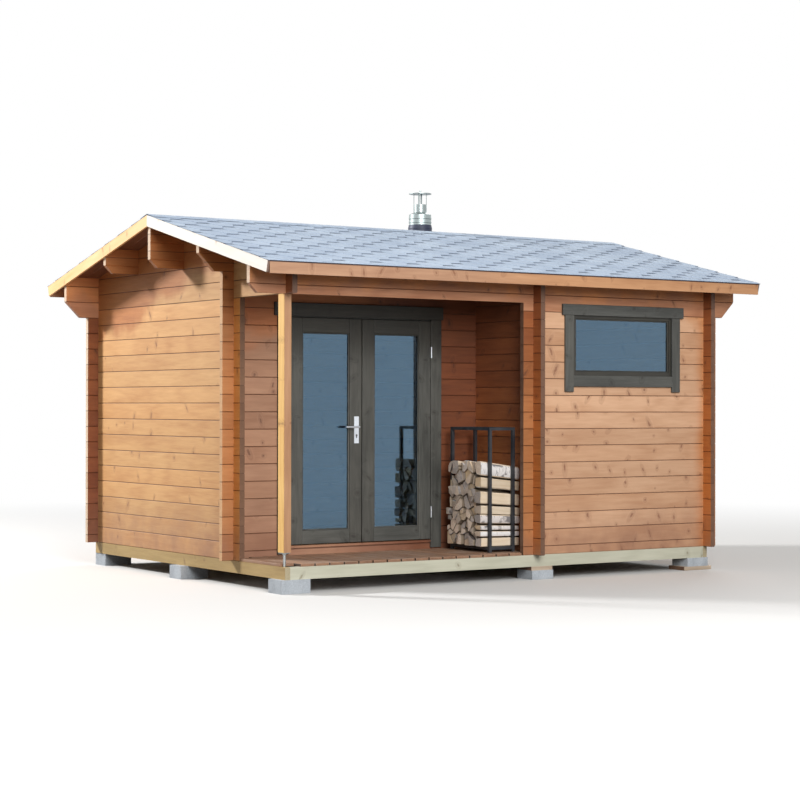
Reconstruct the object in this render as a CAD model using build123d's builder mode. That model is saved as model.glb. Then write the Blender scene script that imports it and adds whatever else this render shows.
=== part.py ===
from build123d import *
from math import atan, cos, sin, radians, degrees
import os

# Garden sauna cabin of interlocked machined logs under a low gabled roof, in millimetres.
# X runs along the ridge, the porch side faces -Y, +Z is up.
# The origin is on the ground under the middle of the plan.

# Log walls
log_course = 137            # height that one log adds to a wall
log_thickness = 44
joint_groove = 5            # bevel at the edge of each log face
corner_overrun = 100        # log ends past the corners
half_length = 2120          # outer faces of the gable walls
half_depth = 1660           # outer faces of the front and back walls

# Porch, recessed at the left of the front
porch_depth = 800
porch_length = 2340

# Supports and floor frame
support_height = 105
bearer_height = 95
bearer_width = 45
log_base = support_height + bearer_height
deck_thickness = 22

# Roof
course_count = 17           # courses up to the soffit at the front and back wall faces
eaves_count = 2             # courses from the tops of the gable walls up to there
roof_slope = 0.246          # rise over run
roof_pitch = degrees(atan(roof_slope))
board_thickness = 18
cover_thickness = 9
gable_overhang = 330
eaves_overhang = 305
trim_thickness = 18
rake_depth = 87             # width of the rake boards
fascia_depth = 92
cover_lip = 12              # covering beyond the fascia
ridge_cap_reach = 120
ridge_cap_thickness = 4
purlin_gap = 4              # behind the rake boards
purlin_overhang = gable_overhang - trim_thickness - purlin_gap

# Derived positions
left_face = -half_length
right_face = half_length
front_face = -half_depth
back_face = half_depth
porch_face = front_face + porch_depth
side_face = left_face + porch_length
slope_factor = 1 / cos(radians(roof_pitch))
ridge_soffit = log_base + course_count * log_course + roof_slope * half_depth
boards_rise = board_thickness * slope_factor
cover_rise = (board_thickness + cover_thickness) * slope_factor


def course(number):
    """Height of a log joint, counted in courses from the foot of the walls."""
    return log_base + number * log_course


def soffit(y):
    """Height of the underside of the roof boards."""
    return ridge_soffit - roof_slope * abs(y)


def joints_between(low, high, first):
    """Heights of the log joints strictly between two heights."""
    heights = []
    number = first
    while course(number) < high - joint_groove:
        if course(number) > low + joint_groove:
            heights.append(course(number))
        number += 1
    return heights


def log_outline(near, far, low, high_near, high_far, first):
    """Cross-section of stacked logs with a V groove at each joint on both faces."""
    points = [(near + joint_groove, low), (far - joint_groove, low), (far, low + joint_groove)]
    for height in joints_between(low, high_far, first):
        points += [(far, height - joint_groove), (far - joint_groove, height),
                   (far, height + joint_groove)]
    points += [(far, high_far), (near, high_near)]
    for height in reversed(joints_between(low, high_near, first)):
        points += [(near, height + joint_groove), (near + joint_groove, height),
                   (near, height - joint_groove)]
    points.append((near, low + joint_groove))
    return points


def wall_along_x(left, right, face, low, high=None, first=0.5):
    """Logs along X with their outer face at y = face. With no top given they meet the soffit."""
    rear = face + log_thickness
    high_near = soffit(face) if high is None else high
    high_far = soffit(rear) if high is None else high
    with BuildSketch(Plane.YZ.offset(left)) as outline:
        with BuildLine():
            Polyline(*log_outline(face, rear, low, high_near, high_far, first), close=True)
        make_face()
    extrude(outline.sketch, amount=right - left)


def wall_along_y(front, back, face, low, high, first=0):
    """Logs along Y with their left face at x = face."""
    with BuildSketch(Plane.XZ.offset(-back)) as outline:
        with BuildLine():
            Polyline(*log_outline(face, face + log_thickness, low, high, high, first), close=True)
        make_face()
    extrude(outline.sketch, amount=back - front)


def box_between(x_low, x_high, y_low, y_high, z_low, z_high, mode=Mode.ADD):
    """Rectangular block given by its limits."""
    with BuildSketch(Plane.XY.offset(z_low)) as outline:
        with Locations(((x_low + x_high) / 2, (y_low + y_high) / 2)):
            Rectangle(x_high - x_low, y_high - y_low)
    extrude(outline.sketch, amount=z_high - z_low, mode=mode)


def cut_through(points, face):
    """Cut an XZ outline out of a wall that stands along X with its outer face at y = face."""
    with BuildSketch(Plane.XZ.offset(-face)) as outline:
        with BuildLine():
            Polyline(*points, close=True)
        make_face()
    extrude(outline.sketch, amount=-log_thickness, mode=Mode.SUBTRACT)


os.makedirs("parts", exist_ok=True)
finished = []


def finish(builder, name):
    """Label a sub-part and write its STEP file."""
    builder.part.label = name
    export_step(builder.part, f"parts/{name}.step")
    finished.append(name)


# Concrete blocks under the bearers, with timber packing on two of them
block_length = 250
block_width = 200
packing_height = 32
packing_width = 180
packed_block_length = 216
plank_block_length = 230
plank_length = 310
block_reach = 12            # blocks stand out past the wall faces
front_block_inset = 90
plank_block_inset = 115
back_block_inset = 130
side_block_inset = 60
packed_block_past = 90      # beyond the porch side wall
row_front = front_face + block_width / 2 - block_reach
row_back = back_face - block_width / 2 + block_reach
full_block_spots = [
    (left_face + front_block_inset, row_front), (left_face + back_block_inset, row_back), (0, row_back),
    (right_face - back_block_inset, row_back), (left_face + side_block_inset, 0), (0, 0),
    (right_face - side_block_inset, 0),
]
packed_block_spot = (side_face + packed_block_past, row_front)
plank_block_spot = (right_face - plank_block_inset, row_front)

with BuildPart() as foundation_blocks:
    with BuildSketch():
        with Locations(*full_block_spots):
            Rectangle(block_length, block_width)
    extrude(amount=support_height)
    with BuildSketch():
        with Locations(packed_block_spot):
            Rectangle(packed_block_length, block_width)
    extrude(amount=support_height - packing_height)
    with BuildSketch(Plane.XY.offset(packing_height)):
        with Locations(plank_block_spot):
            Rectangle(plank_block_length, block_width)
    extrude(amount=support_height - packing_height)
finish(foundation_blocks, "foundation_blocks")

with BuildPart() as packing_planks:
    with BuildSketch(Plane.XY.offset(support_height - packing_height)):
        with Locations(packed_block_spot):
            Rectangle(packed_block_length, packing_width)
    extrude(amount=packing_height)
    with BuildSketch():
        with Locations(plank_block_spot):
            Rectangle(plank_length, block_width)
    extrude(amount=packing_height)
finish(packing_planks, "packing_planks")

# Front and back bearers between the two side bearers
with BuildPart() as bearers:
    for near in (front_face, back_face - bearer_width):
        box_between(left_face + bearer_width, right_face - bearer_width, near, near + bearer_width,
                    support_height, log_base)
finish(bearers, "bearers")

joist_spacing = 700
joist_count = 5
joist_spots = [joist_spacing * (number - (joist_count - 1) / 2) for number in range(joist_count)]
with BuildPart() as joists:
    for near in (left_face, right_face - bearer_width):
        box_between(near, near + bearer_width, front_face, back_face, support_height, log_base)
    for middle in joist_spots:
        box_between(middle - bearer_width / 2, middle + bearer_width / 2, front_face + bearer_width,
                    back_face - bearer_width, support_height, log_base)
finish(joists, "joists")

# Porch deck, cut out at its front left corner for the foot of the post
post_width = 65
post_depth = 90
post_setback = 20
post_front = front_face + post_setback
post_foot_height = 108
foot_notch = 52
foot_notch_depth = 86
with BuildPart() as porch_deck:
    box_between(left_face, side_face, front_face, porch_face, log_base, log_base + deck_thickness)
    box_between(left_face, left_face + foot_notch, front_face, front_face + foot_notch_depth,
                log_base, log_base + deck_thickness, mode=Mode.SUBTRACT)
    box_between(left_face, left_face + log_thickness, porch_face - corner_overrun, porch_face,
                log_base, log_base + deck_thickness, mode=Mode.SUBTRACT)
    box_between(side_face - corner_overrun, side_face, front_face, front_face + log_thickness,
                log_base, log_base + deck_thickness, mode=Mode.SUBTRACT)
finish(porch_deck, "porch_deck")

# Interior floor, an L round the porch
with BuildPart() as floor_boards:
    box_between(left_face + log_thickness, side_face + log_thickness, porch_face + log_thickness,
                back_face - log_thickness, log_base, log_base + deck_thickness)
    box_between(side_face + log_thickness, right_face - log_thickness, front_face + log_thickness,
                back_face - log_thickness, log_base, log_base + deck_thickness)
finish(floor_boards, "floor_boards")

# Gable walls up to two courses under the soffit, notched where the eaves logs begin half a course lower
half_log = log_course / 2
wall_top = course(course_count - eaves_count)
eaves_low = wall_top - half_log
eaves_bevel_top = wall_top + half_log
with BuildPart() as wall_left:
    wall_along_y(porch_face - corner_overrun, back_face + corner_overrun, left_face, log_base, wall_top)
    box_between(left_face, left_face + log_thickness, back_face - log_thickness, back_face,
                eaves_low, wall_top, mode=Mode.SUBTRACT)
finish(wall_left, "wall_left")

with BuildPart() as wall_right:
    wall_along_y(front_face - corner_overrun, back_face + corner_overrun, right_face - log_thickness,
                 log_base, wall_top)
    for near in (front_face, back_face - log_thickness):
        box_between(right_face - log_thickness, right_face, near, near + log_thickness,
                    eaves_low, wall_top, mode=Mode.SUBTRACT)
finish(wall_right, "wall_right")

# Purlins: ridge, front slope over the porch wall, back slope
front_purlin_face = porch_face
back_purlin_face = -porch_face - log_thickness
ridge_purlin_face = -log_thickness / 2
ridge_purlin_low = course(course_count)
back_purlin_low = ridge_purlin_low
front_purlin_low = ridge_purlin_low - half_log
purlin_bevel_top = ridge_purlin_low + half_log

# Gable peaks, pocketed for the purlins and the eaves logs
peak_reach = half_depth + corner_overrun
with BuildPart() as gable_peaks:
    for face in (left_face, right_face - log_thickness):
        wall_along_y(-peak_reach, peak_reach, face, wall_top, ridge_soffit)
    with BuildSketch(Plane.YZ.offset(left_face)):
        with BuildLine():
            Polyline((-peak_reach, wall_top), (peak_reach, wall_top), (peak_reach, soffit(peak_reach)),
                     (0, ridge_soffit), (-peak_reach, soffit(peak_reach)), close=True)
        make_face()
    extrude(amount=2 * half_length, mode=Mode.INTERSECT)
    for face in (left_face, right_face - log_thickness):
        for near, low in ((ridge_purlin_face, ridge_purlin_low), (front_purlin_face, front_purlin_low),
                          (back_purlin_face, back_purlin_low), (front_face, wall_top),
                          (back_face - log_thickness, wall_top)):
            box_between(face, face + log_thickness, near, near + log_thickness, low, ridge_soffit,
                        mode=Mode.SUBTRACT)
finish(gable_peaks, "gable_peaks")

# Back wall between the gables, with its log ends outside them
with BuildPart() as wall_back:
    rear_wall = back_face - log_thickness
    wall_along_x(left_face + log_thickness, right_face - log_thickness, rear_wall, log_base, eaves_low)
    wall_along_x(left_face - corner_overrun, left_face, rear_wall, log_base, eaves_low)
    wall_along_x(right_face, right_face + corner_overrun, rear_wall, log_base, eaves_low)
finish(wall_back, "wall_back")

# Window opening in the front wall of the right room
window_margin = 351         # log wall beside the window
window_height = 531.5       # hangs under the eaves course
window_left = side_face + log_thickness + window_margin
window_right = right_face - log_thickness - window_margin
window_low = eaves_low - window_height
with BuildPart() as wall_front_sides:
    wall_along_x(side_face - corner_overrun, side_face, front_face, log_base, eaves_low)
    wall_along_x(side_face + log_thickness, window_left, front_face, log_base, eaves_low)
    wall_along_x(window_right, right_face - log_thickness, front_face, log_base, eaves_low)
    wall_along_x(right_face, right_face + corner_overrun, front_face, log_base, eaves_low)
finish(wall_front_sides, "wall_front_sides")

with BuildPart() as wall_front_below:
    wall_along_x(window_left, window_right, front_face, log_base, window_low)
finish(wall_front_below, "wall_front_below")

# Eaves logs: the top courses of the front and back walls, run out past the gables with bevelled ends
log_reach = half_length + purlin_overhang
beam_stop = side_face - corner_overrun
with BuildPart() as eaves_logs:
    wall_along_x(-log_reach, log_reach, front_face, eaves_low)
    cut_through([(-log_reach, eaves_low), (beam_stop, eaves_low), (beam_stop, wall_top),
                 (half_log - log_reach, wall_top), (-log_reach, eaves_bevel_top)], front_face)
    cut_through([(log_reach, eaves_low), (log_reach, eaves_bevel_top), (log_reach - log_course, eaves_low)],
                front_face)
    wall_along_x(-log_reach, log_reach, back_face - log_thickness, eaves_low)
    for side in (-1, 1):
        cut_through([(side * log_reach, eaves_low), (side * log_reach, eaves_bevel_top),
                     (side * (log_reach - log_course), eaves_low)], back_face - log_thickness)
finish(eaves_logs, "eaves_logs")

with BuildPart() as purlins:
    for face, low in ((ridge_purlin_face, ridge_purlin_low), (front_purlin_face, front_purlin_low),
                      (back_purlin_face, back_purlin_low)):
        wall_along_x(-log_reach, log_reach, face, low)
        bevel = purlin_bevel_top - low
        for side in (-1, 1):
            cut_through([(side * log_reach, low), (side * log_reach, purlin_bevel_top),
                         (side * (log_reach - bevel), low)], face)
finish(purlins, "purlins")

# Porch back wall on both sides of the doorway and over it
door_shift = 12             # doorway to the right of the porch middle
door_middle = (left_face + side_face) / 2 + door_shift
leaf_width = 676
meeting_gap = 8
edge_gap = 5
threshold_height = 104
door_head_depth = 60.5      # frame between the leaves and the eaves course
sill_gap = 6
jamb_width = 40
leaf_low = log_base + threshold_height
door_head_low = eaves_low - door_head_depth
leaf_high = door_head_low - edge_gap
clear_half = leaf_width + meeting_gap / 2 + edge_gap
jamb_half = clear_half + jamb_width
sill_top = leaf_low - sill_gap
with BuildPart() as porch_wall_sides:
    wall_along_x(left_face + log_thickness, door_middle - jamb_half, porch_face, log_base, eaves_low)
    wall_along_x(door_middle + jamb_half, side_face, porch_face, log_base, eaves_low)
    wall_along_x(left_face - corner_overrun, left_face, porch_face, log_base, front_purlin_low)
finish(porch_wall_sides, "porch_wall_sides")

with BuildPart() as porch_wall_top:
    wall_along_x(left_face + log_thickness, side_face, porch_face, eaves_low, front_purlin_low)
finish(porch_wall_top, "porch_wall_top")

# Porch side wall, with a notch for the front eaves logs and one for the purlin
side_rear = porch_face + log_thickness
with BuildPart() as porch_side_wall:
    wall_along_y(front_face - corner_overrun, side_rear, side_face, log_base, ridge_soffit)
    with BuildSketch(Plane.YZ.offset(side_face)):
        with BuildLine():
            Polyline((front_face - corner_overrun, log_base), (side_rear, log_base),
                     (side_rear, soffit(side_rear)),
                     (front_face - corner_overrun, soffit(front_face - corner_overrun)), close=True)
        make_face()
    extrude(amount=log_thickness, mode=Mode.INTERSECT)
    box_between(side_face, side_face + log_thickness, front_face, front_face + log_thickness,
                eaves_low, ridge_soffit, mode=Mode.SUBTRACT)
    box_between(side_face, side_face + log_thickness, porch_face, side_rear,
                front_purlin_low, ridge_soffit, mode=Mode.SUBTRACT)
finish(porch_side_wall, "porch_side_wall")

# Porch post on an adjustable screw foot
post_left = left_face
post_middle_x = post_left + post_width / 2
post_middle_y = post_front + post_depth / 2
post_edge = 3
foot_plate = 5
foot_plate_inset_x = 3
foot_plate_inset_y = 8
foot_rod_radius = 10
foot_nut_radius = 16
foot_nut_height = 14
with BuildPart() as porch_post:
    box_between(post_left, post_left + post_width, post_front, post_front + post_depth,
                log_base + post_foot_height, wall_top)
    chamfer(porch_post.edges().filter_by(Axis.Z), length=post_edge)
finish(porch_post, "porch_post")

with BuildPart() as post_foot:
    with BuildSketch(Plane.XY.offset(log_base)):
        with Locations((post_middle_x, post_middle_y)):
            Circle(foot_rod_radius)
    extrude(amount=post_foot_height - foot_plate)
    with BuildSketch(Plane.XY.offset(log_base + post_foot_height - foot_plate - foot_nut_height)):
        with Locations((post_middle_x, post_middle_y)):
            RegularPolygon(foot_nut_radius, 6)
    extrude(amount=foot_nut_height)
    with BuildSketch(Plane.XY.offset(log_base + post_foot_height - foot_plate)):
        with Locations((post_middle_x, post_middle_y)):
            Rectangle(post_width - 2 * foot_plate_inset_x, post_depth - 2 * foot_plate_inset_y)
    extrude(amount=foot_plate)
finish(post_foot, "post_foot")

# Roof boards, covering and trim
flue_past_wall = 210        # beyond the porch side wall
flue_from_ridge = 290
flue_clearance = 4
flue_x = side_face + flue_past_wall
flue_y = flue_from_ridge
flue_radius = 100
flue_hole_radius = flue_radius + flue_clearance
ridge_gap = 0.5             # half of the joint between the two slopes
boards_half_length = half_length + gable_overhang - trim_thickness
cover_half_length = half_length + gable_overhang
eave_y = half_depth + eaves_overhang


def slope_slab(side, low_rise, high_rise, reach, end):
    """Slab on one roof slope from x = -end to end, between two heights over the soffit plane."""
    with BuildSketch(Plane.YZ.offset(-end)) as outline:
        with BuildLine():
            Polyline((side * ridge_gap, soffit(ridge_gap) + low_rise),
                     (side * reach, soffit(reach) + low_rise), (side * reach, soffit(reach) + high_rise),
                     (side * ridge_gap, soffit(ridge_gap) + high_rise), close=True)
        make_face()
    extrude(outline.sketch, amount=2 * end)


def flue_hole():
    """Round hole through the roof for the flue."""
    with BuildSketch(Plane.XY.offset(wall_top)) as outline:
        with Locations((flue_x, flue_y)):
            Circle(flue_hole_radius)
    extrude(outline.sketch, amount=ridge_soffit, mode=Mode.SUBTRACT)


with BuildPart() as roof_boards:
    for side in (-1, 1):
        slope_slab(side, 0, boards_rise, eave_y - trim_thickness, boards_half_length)
    flue_hole()
finish(roof_boards, "roof_boards")

with BuildPart() as roof_covering:
    for side in (-1, 1):
        slope_slab(side, boards_rise, cover_rise, eave_y + cover_lip, cover_half_length)
    flue_hole()
finish(roof_covering, "roof_covering")

with BuildPart() as ridge_cap:
    cap_rise = cover_rise + ridge_cap_thickness
    cap_edge_height = soffit(ridge_cap_reach)
    with BuildSketch(Plane.YZ.offset(-cover_half_length)):
        with BuildLine():
            Polyline((-ridge_cap_reach, cap_edge_height + cover_rise), (0, ridge_soffit + cover_rise),
                     (ridge_cap_reach, cap_edge_height + cover_rise),
                     (ridge_cap_reach, cap_edge_height + cap_rise), (0, ridge_soffit + cap_rise),
                     (-ridge_cap_reach, cap_edge_height + cap_rise), close=True)
        make_face()
    extrude(amount=2 * cover_half_length)
finish(ridge_cap, "ridge_cap")

# Rake boards under the covering: square-cut lower ends, plumb cut at the ridge
rake_drop = rake_depth * slope_factor
rake_foot_y = eave_y - rake_depth * sin(radians(roof_pitch))
rake_foot_drop = rake_depth * cos(radians(roof_pitch))
with BuildPart() as rake_boards:
    for start in (-half_length - gable_overhang, half_length + gable_overhang - trim_thickness):
        for side in (-1, 1):
            with BuildSketch(Plane.YZ.offset(start)):
                with BuildLine():
                    Polyline((side * ridge_gap, soffit(ridge_gap) + boards_rise),
                             (side * eave_y, soffit(eave_y) + boards_rise),
                             (side * rake_foot_y, soffit(eave_y) + boards_rise - rake_foot_drop),
                             (side * ridge_gap, soffit(ridge_gap) + boards_rise - rake_drop), close=True)
                make_face()
            extrude(amount=trim_thickness)
finish(rake_boards, "rake_boards")

with BuildPart() as eaves_fascias:
    fascia_top = soffit(eave_y) + boards_rise
    for near in (-eave_y, eave_y - trim_thickness):
        box_between(-boards_half_length, boards_half_length, near, near + trim_thickness,
                    fascia_top - fascia_depth, fascia_top)
finish(eaves_fascias, "eaves_fascias")

# Doorway: frame with a stop behind the leaves, casing on the outside, sill on the first half log
leaf_thickness = 42
casing_proud = 20
leaf_front = porch_face - casing_proud
leaf_back = leaf_front + leaf_thickness
stop_front = leaf_back + edge_gap
stop_width = 15
with BuildPart() as door_frame:
    for reach, drop, near, far in ((clear_half, 0, porch_face, stop_front),
                                   (clear_half - stop_width, stop_width, stop_front, side_rear)):
        with BuildSketch(Plane.XZ.offset(-far)):
            with BuildLine():
                Polyline((door_middle - jamb_half, sill_top), (door_middle - reach, sill_top),
                         (door_middle - reach, door_head_low - drop),
                         (door_middle + reach, door_head_low - drop),
                         (door_middle + reach, sill_top), (door_middle + jamb_half, sill_top),
                         (door_middle + jamb_half, eaves_low), (door_middle - jamb_half, eaves_low),
                         close=True)
            make_face()
        extrude(amount=far - near)
finish(door_frame, "door_frame")

casing_width = 105
casing_foot_height = 32
casing_reveal = 6
head_casing_depth = 106
head_casing_left_reach = 30
head_casing_right_reach = 16
head_extra = 5              # head casings stand out from the side ones
casing_low = log_base + casing_foot_height
casing_reach = clear_half + casing_width
head_casing_low = door_head_low + casing_reveal
with BuildPart() as door_casing:
    for near in (door_middle - casing_reach, door_middle + clear_half):
        box_between(near, near + casing_width, leaf_front, porch_face, casing_low, head_casing_low)
    box_between(door_middle - casing_reach - head_casing_left_reach,
                door_middle + casing_reach + head_casing_right_reach, leaf_front - head_extra, porch_face,
                head_casing_low, head_casing_low + head_casing_depth)
finish(door_casing, "door_casing")

sill_nose = 14
sill_nose_depth = 20
sill_fall = 4
with BuildPart() as door_sill:
    with BuildSketch(Plane.YZ.offset(door_middle - jamb_half)):
        with BuildLine():
            Polyline((porch_face + joint_groove, log_base), (side_rear, log_base), (side_rear, sill_top),
                     (porch_face, sill_top), (porch_face - sill_nose, sill_top - sill_fall),
                     (porch_face - sill_nose, sill_top - sill_nose_depth),
                     (porch_face, sill_top - sill_nose_depth), (porch_face, log_base + joint_groove),
                     close=True)
        make_face()
    extrude(amount=2 * jamb_half)
    # the casings stand clear of the nose
    for near in (door_middle - jamb_half, door_middle + clear_half):
        box_between(near, near + jamb_width, porch_face - sill_nose, porch_face, log_base, sill_top,
                    mode=Mode.SUBTRACT)
finish(door_sill, "door_sill")

# Door leaves with a large pane each
stile_width = 114
bottom_rail = 108
top_rail = 117
pane_groove = 12
pane_thickness = 8
pane_inset = 17
spindle_hole_radius = 9.5
spindle_rise = 938          # over the foot of the leaves
spindle_inset = 52
low_hinge_rise = 226
high_hinge_drop = 261
spindle_height = leaf_low + spindle_rise
hinge_heights = (leaf_low + low_hinge_rise, leaf_high - high_hinge_drop)
hinge_barrel = 92
hinge_radius = 6.5
hinge_proud = 7
hinge_y = leaf_front - hinge_proud


def framed(x_low, x_high, y_low, y_high, z_low, z_high, borders):
    """Rectangular frame round a pane, grooved on its inner edges. Borders: sides, foot, head."""
    sides, foot, head = borders
    box_between(x_low, x_high, y_low, y_high, z_low, z_high)
    box_between(x_low + sides, x_high - sides, y_low, y_high, z_low + foot, z_high - head,
                mode=Mode.SUBTRACT)
    pane_between(x_low, x_high, y_low, z_low, z_high, borders, mode=Mode.SUBTRACT)


def pane_between(x_low, x_high, y_low, z_low, z_high, borders, mode=Mode.ADD):
    """The pane that fills the grooves of such a frame."""
    sides, foot, head = borders
    box_between(x_low + sides - pane_groove, x_high - sides + pane_groove, y_low + pane_inset,
                y_low + pane_inset + pane_thickness, z_low + foot - pane_groove, z_high - head + pane_groove,
                mode=mode)


left_leaf_x = door_middle - meeting_gap / 2 - leaf_width
right_leaf_x = door_middle + meeting_gap / 2
spindle_x = left_leaf_x + leaf_width - spindle_inset
leaf_borders = (stile_width, bottom_rail, top_rail)
with BuildPart() as door_left:
    framed(left_leaf_x, left_leaf_x + leaf_width, leaf_front, leaf_back, leaf_low, leaf_high, leaf_borders)
    with BuildSketch(Plane.XZ.offset(-leaf_back)):
        with Locations((spindle_x, spindle_height)):
            Circle(spindle_hole_radius)
    extrude(amount=leaf_thickness, mode=Mode.SUBTRACT)
finish(door_left, "door_left")

with BuildPart() as door_right:
    framed(right_leaf_x, right_leaf_x + leaf_width, leaf_front, leaf_back, leaf_low, leaf_high, leaf_borders)
finish(door_right, "door_right")

with BuildPart() as pane_left:
    pane_between(left_leaf_x, left_leaf_x + leaf_width, leaf_front, leaf_low, leaf_high, leaf_borders)
finish(pane_left, "pane_left")

with BuildPart() as pane_right:
    pane_between(right_leaf_x, right_leaf_x + leaf_width, leaf_front, leaf_low, leaf_high, leaf_borders)
finish(pane_right, "pane_right")

# Lever handle with its plates on both faces of the left leaf
plate_width = 44
plate_height = 218
plate_thickness = 5
plate_drop = 24             # plate middle under the spindle
plate_middle = spindle_height - plate_drop
lever_length = 128
lever_radius = 9
lever_proud = 48
with BuildPart() as handle_plates:
    for rear in (leaf_front, leaf_back + plate_thickness):
        with BuildSketch(Plane.XZ.offset(-rear)):
            with Locations((spindle_x, plate_middle)):
                Rectangle(plate_width, plate_height)
            with Locations((spindle_x, spindle_height)):
                Circle(spindle_hole_radius, mode=Mode.SUBTRACT)
        extrude(amount=plate_thickness)
finish(handle_plates, "handle_plates")

lever_front = leaf_front - lever_proud
lever_back = leaf_back + lever_proud
with BuildPart() as lever_handle:
    with BuildSketch(Plane.XZ.offset(-lever_back)):
        with Locations((spindle_x, spindle_height)):
            Circle(lever_radius)
    extrude(amount=lever_back - lever_front)
    for near in (lever_front, lever_back):
        with BuildSketch(Plane.YZ.offset(spindle_x - lever_length)):
            with Locations((near, spindle_height)):
                Circle(lever_radius)
        extrude(amount=lever_length)
        with Locations((spindle_x, near, spindle_height)):
            Sphere(lever_radius)
finish(lever_handle, "lever_handle")

# Hinges: the lower knuckle with the pin stays on the frame, the upper one turns with the leaf
pin_radius = 4
pin_fit = 0.1
knuckle_gap = 1
knuckle = (hinge_barrel - knuckle_gap) / 2
left_hinge_x = left_leaf_x - edge_gap / 2
right_hinge_x = right_leaf_x + leaf_width + edge_gap / 2
with BuildPart() as hinge_pins:
    for hinge_x in (left_hinge_x, right_hinge_x):
        for middle in hinge_heights:
            low = middle - hinge_barrel / 2
            with BuildSketch(Plane.XY.offset(low)):
                with Locations((hinge_x, hinge_y)):
                    Circle(hinge_radius)
            extrude(amount=knuckle)
            with BuildSketch(Plane.XY.offset(low)):
                with Locations((hinge_x, hinge_y)):
                    Circle(pin_radius)
            extrude(amount=2 * knuckle)
finish(hinge_pins, "hinge_pins")

for name, hinge_x in (("left_knuckles", left_hinge_x), ("right_knuckles", right_hinge_x)):
    with BuildPart() as knuckles:
        for middle in hinge_heights:
            with BuildSketch(Plane.XY.offset(middle + knuckle_gap / 2)):
                with Locations((hinge_x, hinge_y)):
                    Circle(hinge_radius)
                    Circle(pin_radius + pin_fit, mode=Mode.SUBTRACT)
            extrude(amount=knuckle)
    finish(knuckles, name)

# Fixed window: frame, pane and outside casing
window_frame_width = 45
window_borders = (window_frame_width, window_frame_width, window_frame_width)
with BuildPart() as window_frame:
    framed(window_left, window_right, front_face, front_face + log_thickness, window_low, eaves_low,
           window_borders)
finish(window_frame, "window_frame")

with BuildPart() as window_pane:
    pane_between(window_left, window_right, front_face, window_low, eaves_low, window_borders)
finish(window_pane, "window_pane")

casing_left_reach = 75
casing_right_reach = 67
side_casing_width = 89
side_casing_drop = 122      # below the opening
side_casing_stop = 20.5     # below the eaves course
window_head_depth = 92
sill_casing_depth = 92
sill_casing_lap = 13
window_head_left_reach = 28
window_head_right_reach = 37
casing_left = window_left - casing_left_reach
casing_right = window_right + casing_right_reach
window_casing_low = window_low - side_casing_drop
window_casing_high = eaves_low - side_casing_stop
sill_casing_high = window_low + sill_casing_lap
sill_casing_low = sill_casing_high - sill_casing_depth
with BuildPart() as window_casing:
    for near in (casing_left, casing_right - side_casing_width):
        box_between(near, near + side_casing_width, front_face - casing_proud, front_face,
                    window_casing_low, window_casing_high)
    box_between(casing_left + side_casing_width, casing_right - side_casing_width,
                front_face - casing_proud, front_face, sill_casing_low, sill_casing_high)
    box_between(casing_left - window_head_left_reach, casing_right + window_head_right_reach,
                front_face - casing_proud - head_extra, front_face, window_casing_high,
                window_casing_high + window_head_depth)
finish(window_casing, "window_casing")

# Flue: insulated pipe through the roof, upper pipe with a rain cap, flashing on the slope
flue_axis = Axis((flue_x, flue_y, 0), (0, 0, 1))
roof_top_at_flue = soffit(flue_y) + cover_rise
flue_drop = 100             # below the soffit
flue_stand = 243            # insulated pipe over the covering
flue_bore = 55
pipe_bore = 52
pipe_radius = 57
cone_lip = 3
cone_height = 22
upper_pipe_length = 95
cap_radius = 101
cap_stand = 94              # over the upper pipe
cap_edge = 6
cap_rise_height = 16
knob_stand = 34             # over the cap's underside
knob_radius = 9
band_reach = 2.5
band_bite = 1
band_height = 12
band_drops = (72, 37)       # below the shoulder
leg_width = 14
leg_depth = 4
leg_bite = 2
flue_foot = soffit(flue_y) - flue_drop
flue_shoulder = roof_top_at_flue + flue_stand
pipe_top = flue_shoulder + upper_pipe_length
cap_low = pipe_top + cap_stand
knob_top = cap_low + knob_stand


def turned(points):
    """Solid of revolution about the flue, from (radius, height) points."""
    with BuildSketch(Plane.XZ.offset(-flue_y)) as outline:
        with BuildLine():
            Polyline(*[(flue_x + radius, height) for radius, height in points], close=True)
        make_face()
    revolve(outline.sketch, axis=flue_axis)


with BuildPart() as flue_pipe:
    turned([(flue_bore, flue_foot), (flue_radius, flue_foot), (flue_radius, flue_shoulder),
            (flue_bore, flue_shoulder)])
    for drop in band_drops:
        low = flue_shoulder - drop
        turned([(flue_radius - band_bite, low), (flue_radius + band_reach, low),
                (flue_radius + band_reach, low + band_height), (flue_radius - band_bite, low + band_height)])
finish(flue_pipe, "flue_pipe")

with BuildPart() as flue_top:
    turned([(pipe_bore, flue_shoulder), (flue_radius, flue_shoulder),
            (flue_radius, flue_shoulder + cone_lip), (pipe_radius, flue_shoulder + cone_height),
            (pipe_radius, pipe_top), (pipe_bore, pipe_top)])
    with BuildSketch(Plane.XY.offset(flue_shoulder + cone_height)):
        with Locations((flue_x, flue_y)):
            with PolarLocations(pipe_radius, 4, start_angle=45):
                Rectangle(leg_depth, leg_width)
    extrude(amount=cap_low + leg_bite - flue_shoulder - cone_height)
    turned([(0, cap_low), (cap_radius, cap_low), (cap_radius, cap_low + cap_edge),
            (knob_radius, cap_low + cap_rise_height), (knob_radius, knob_top), (0, knob_top)])
finish(flue_top, "flue_top")

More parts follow.
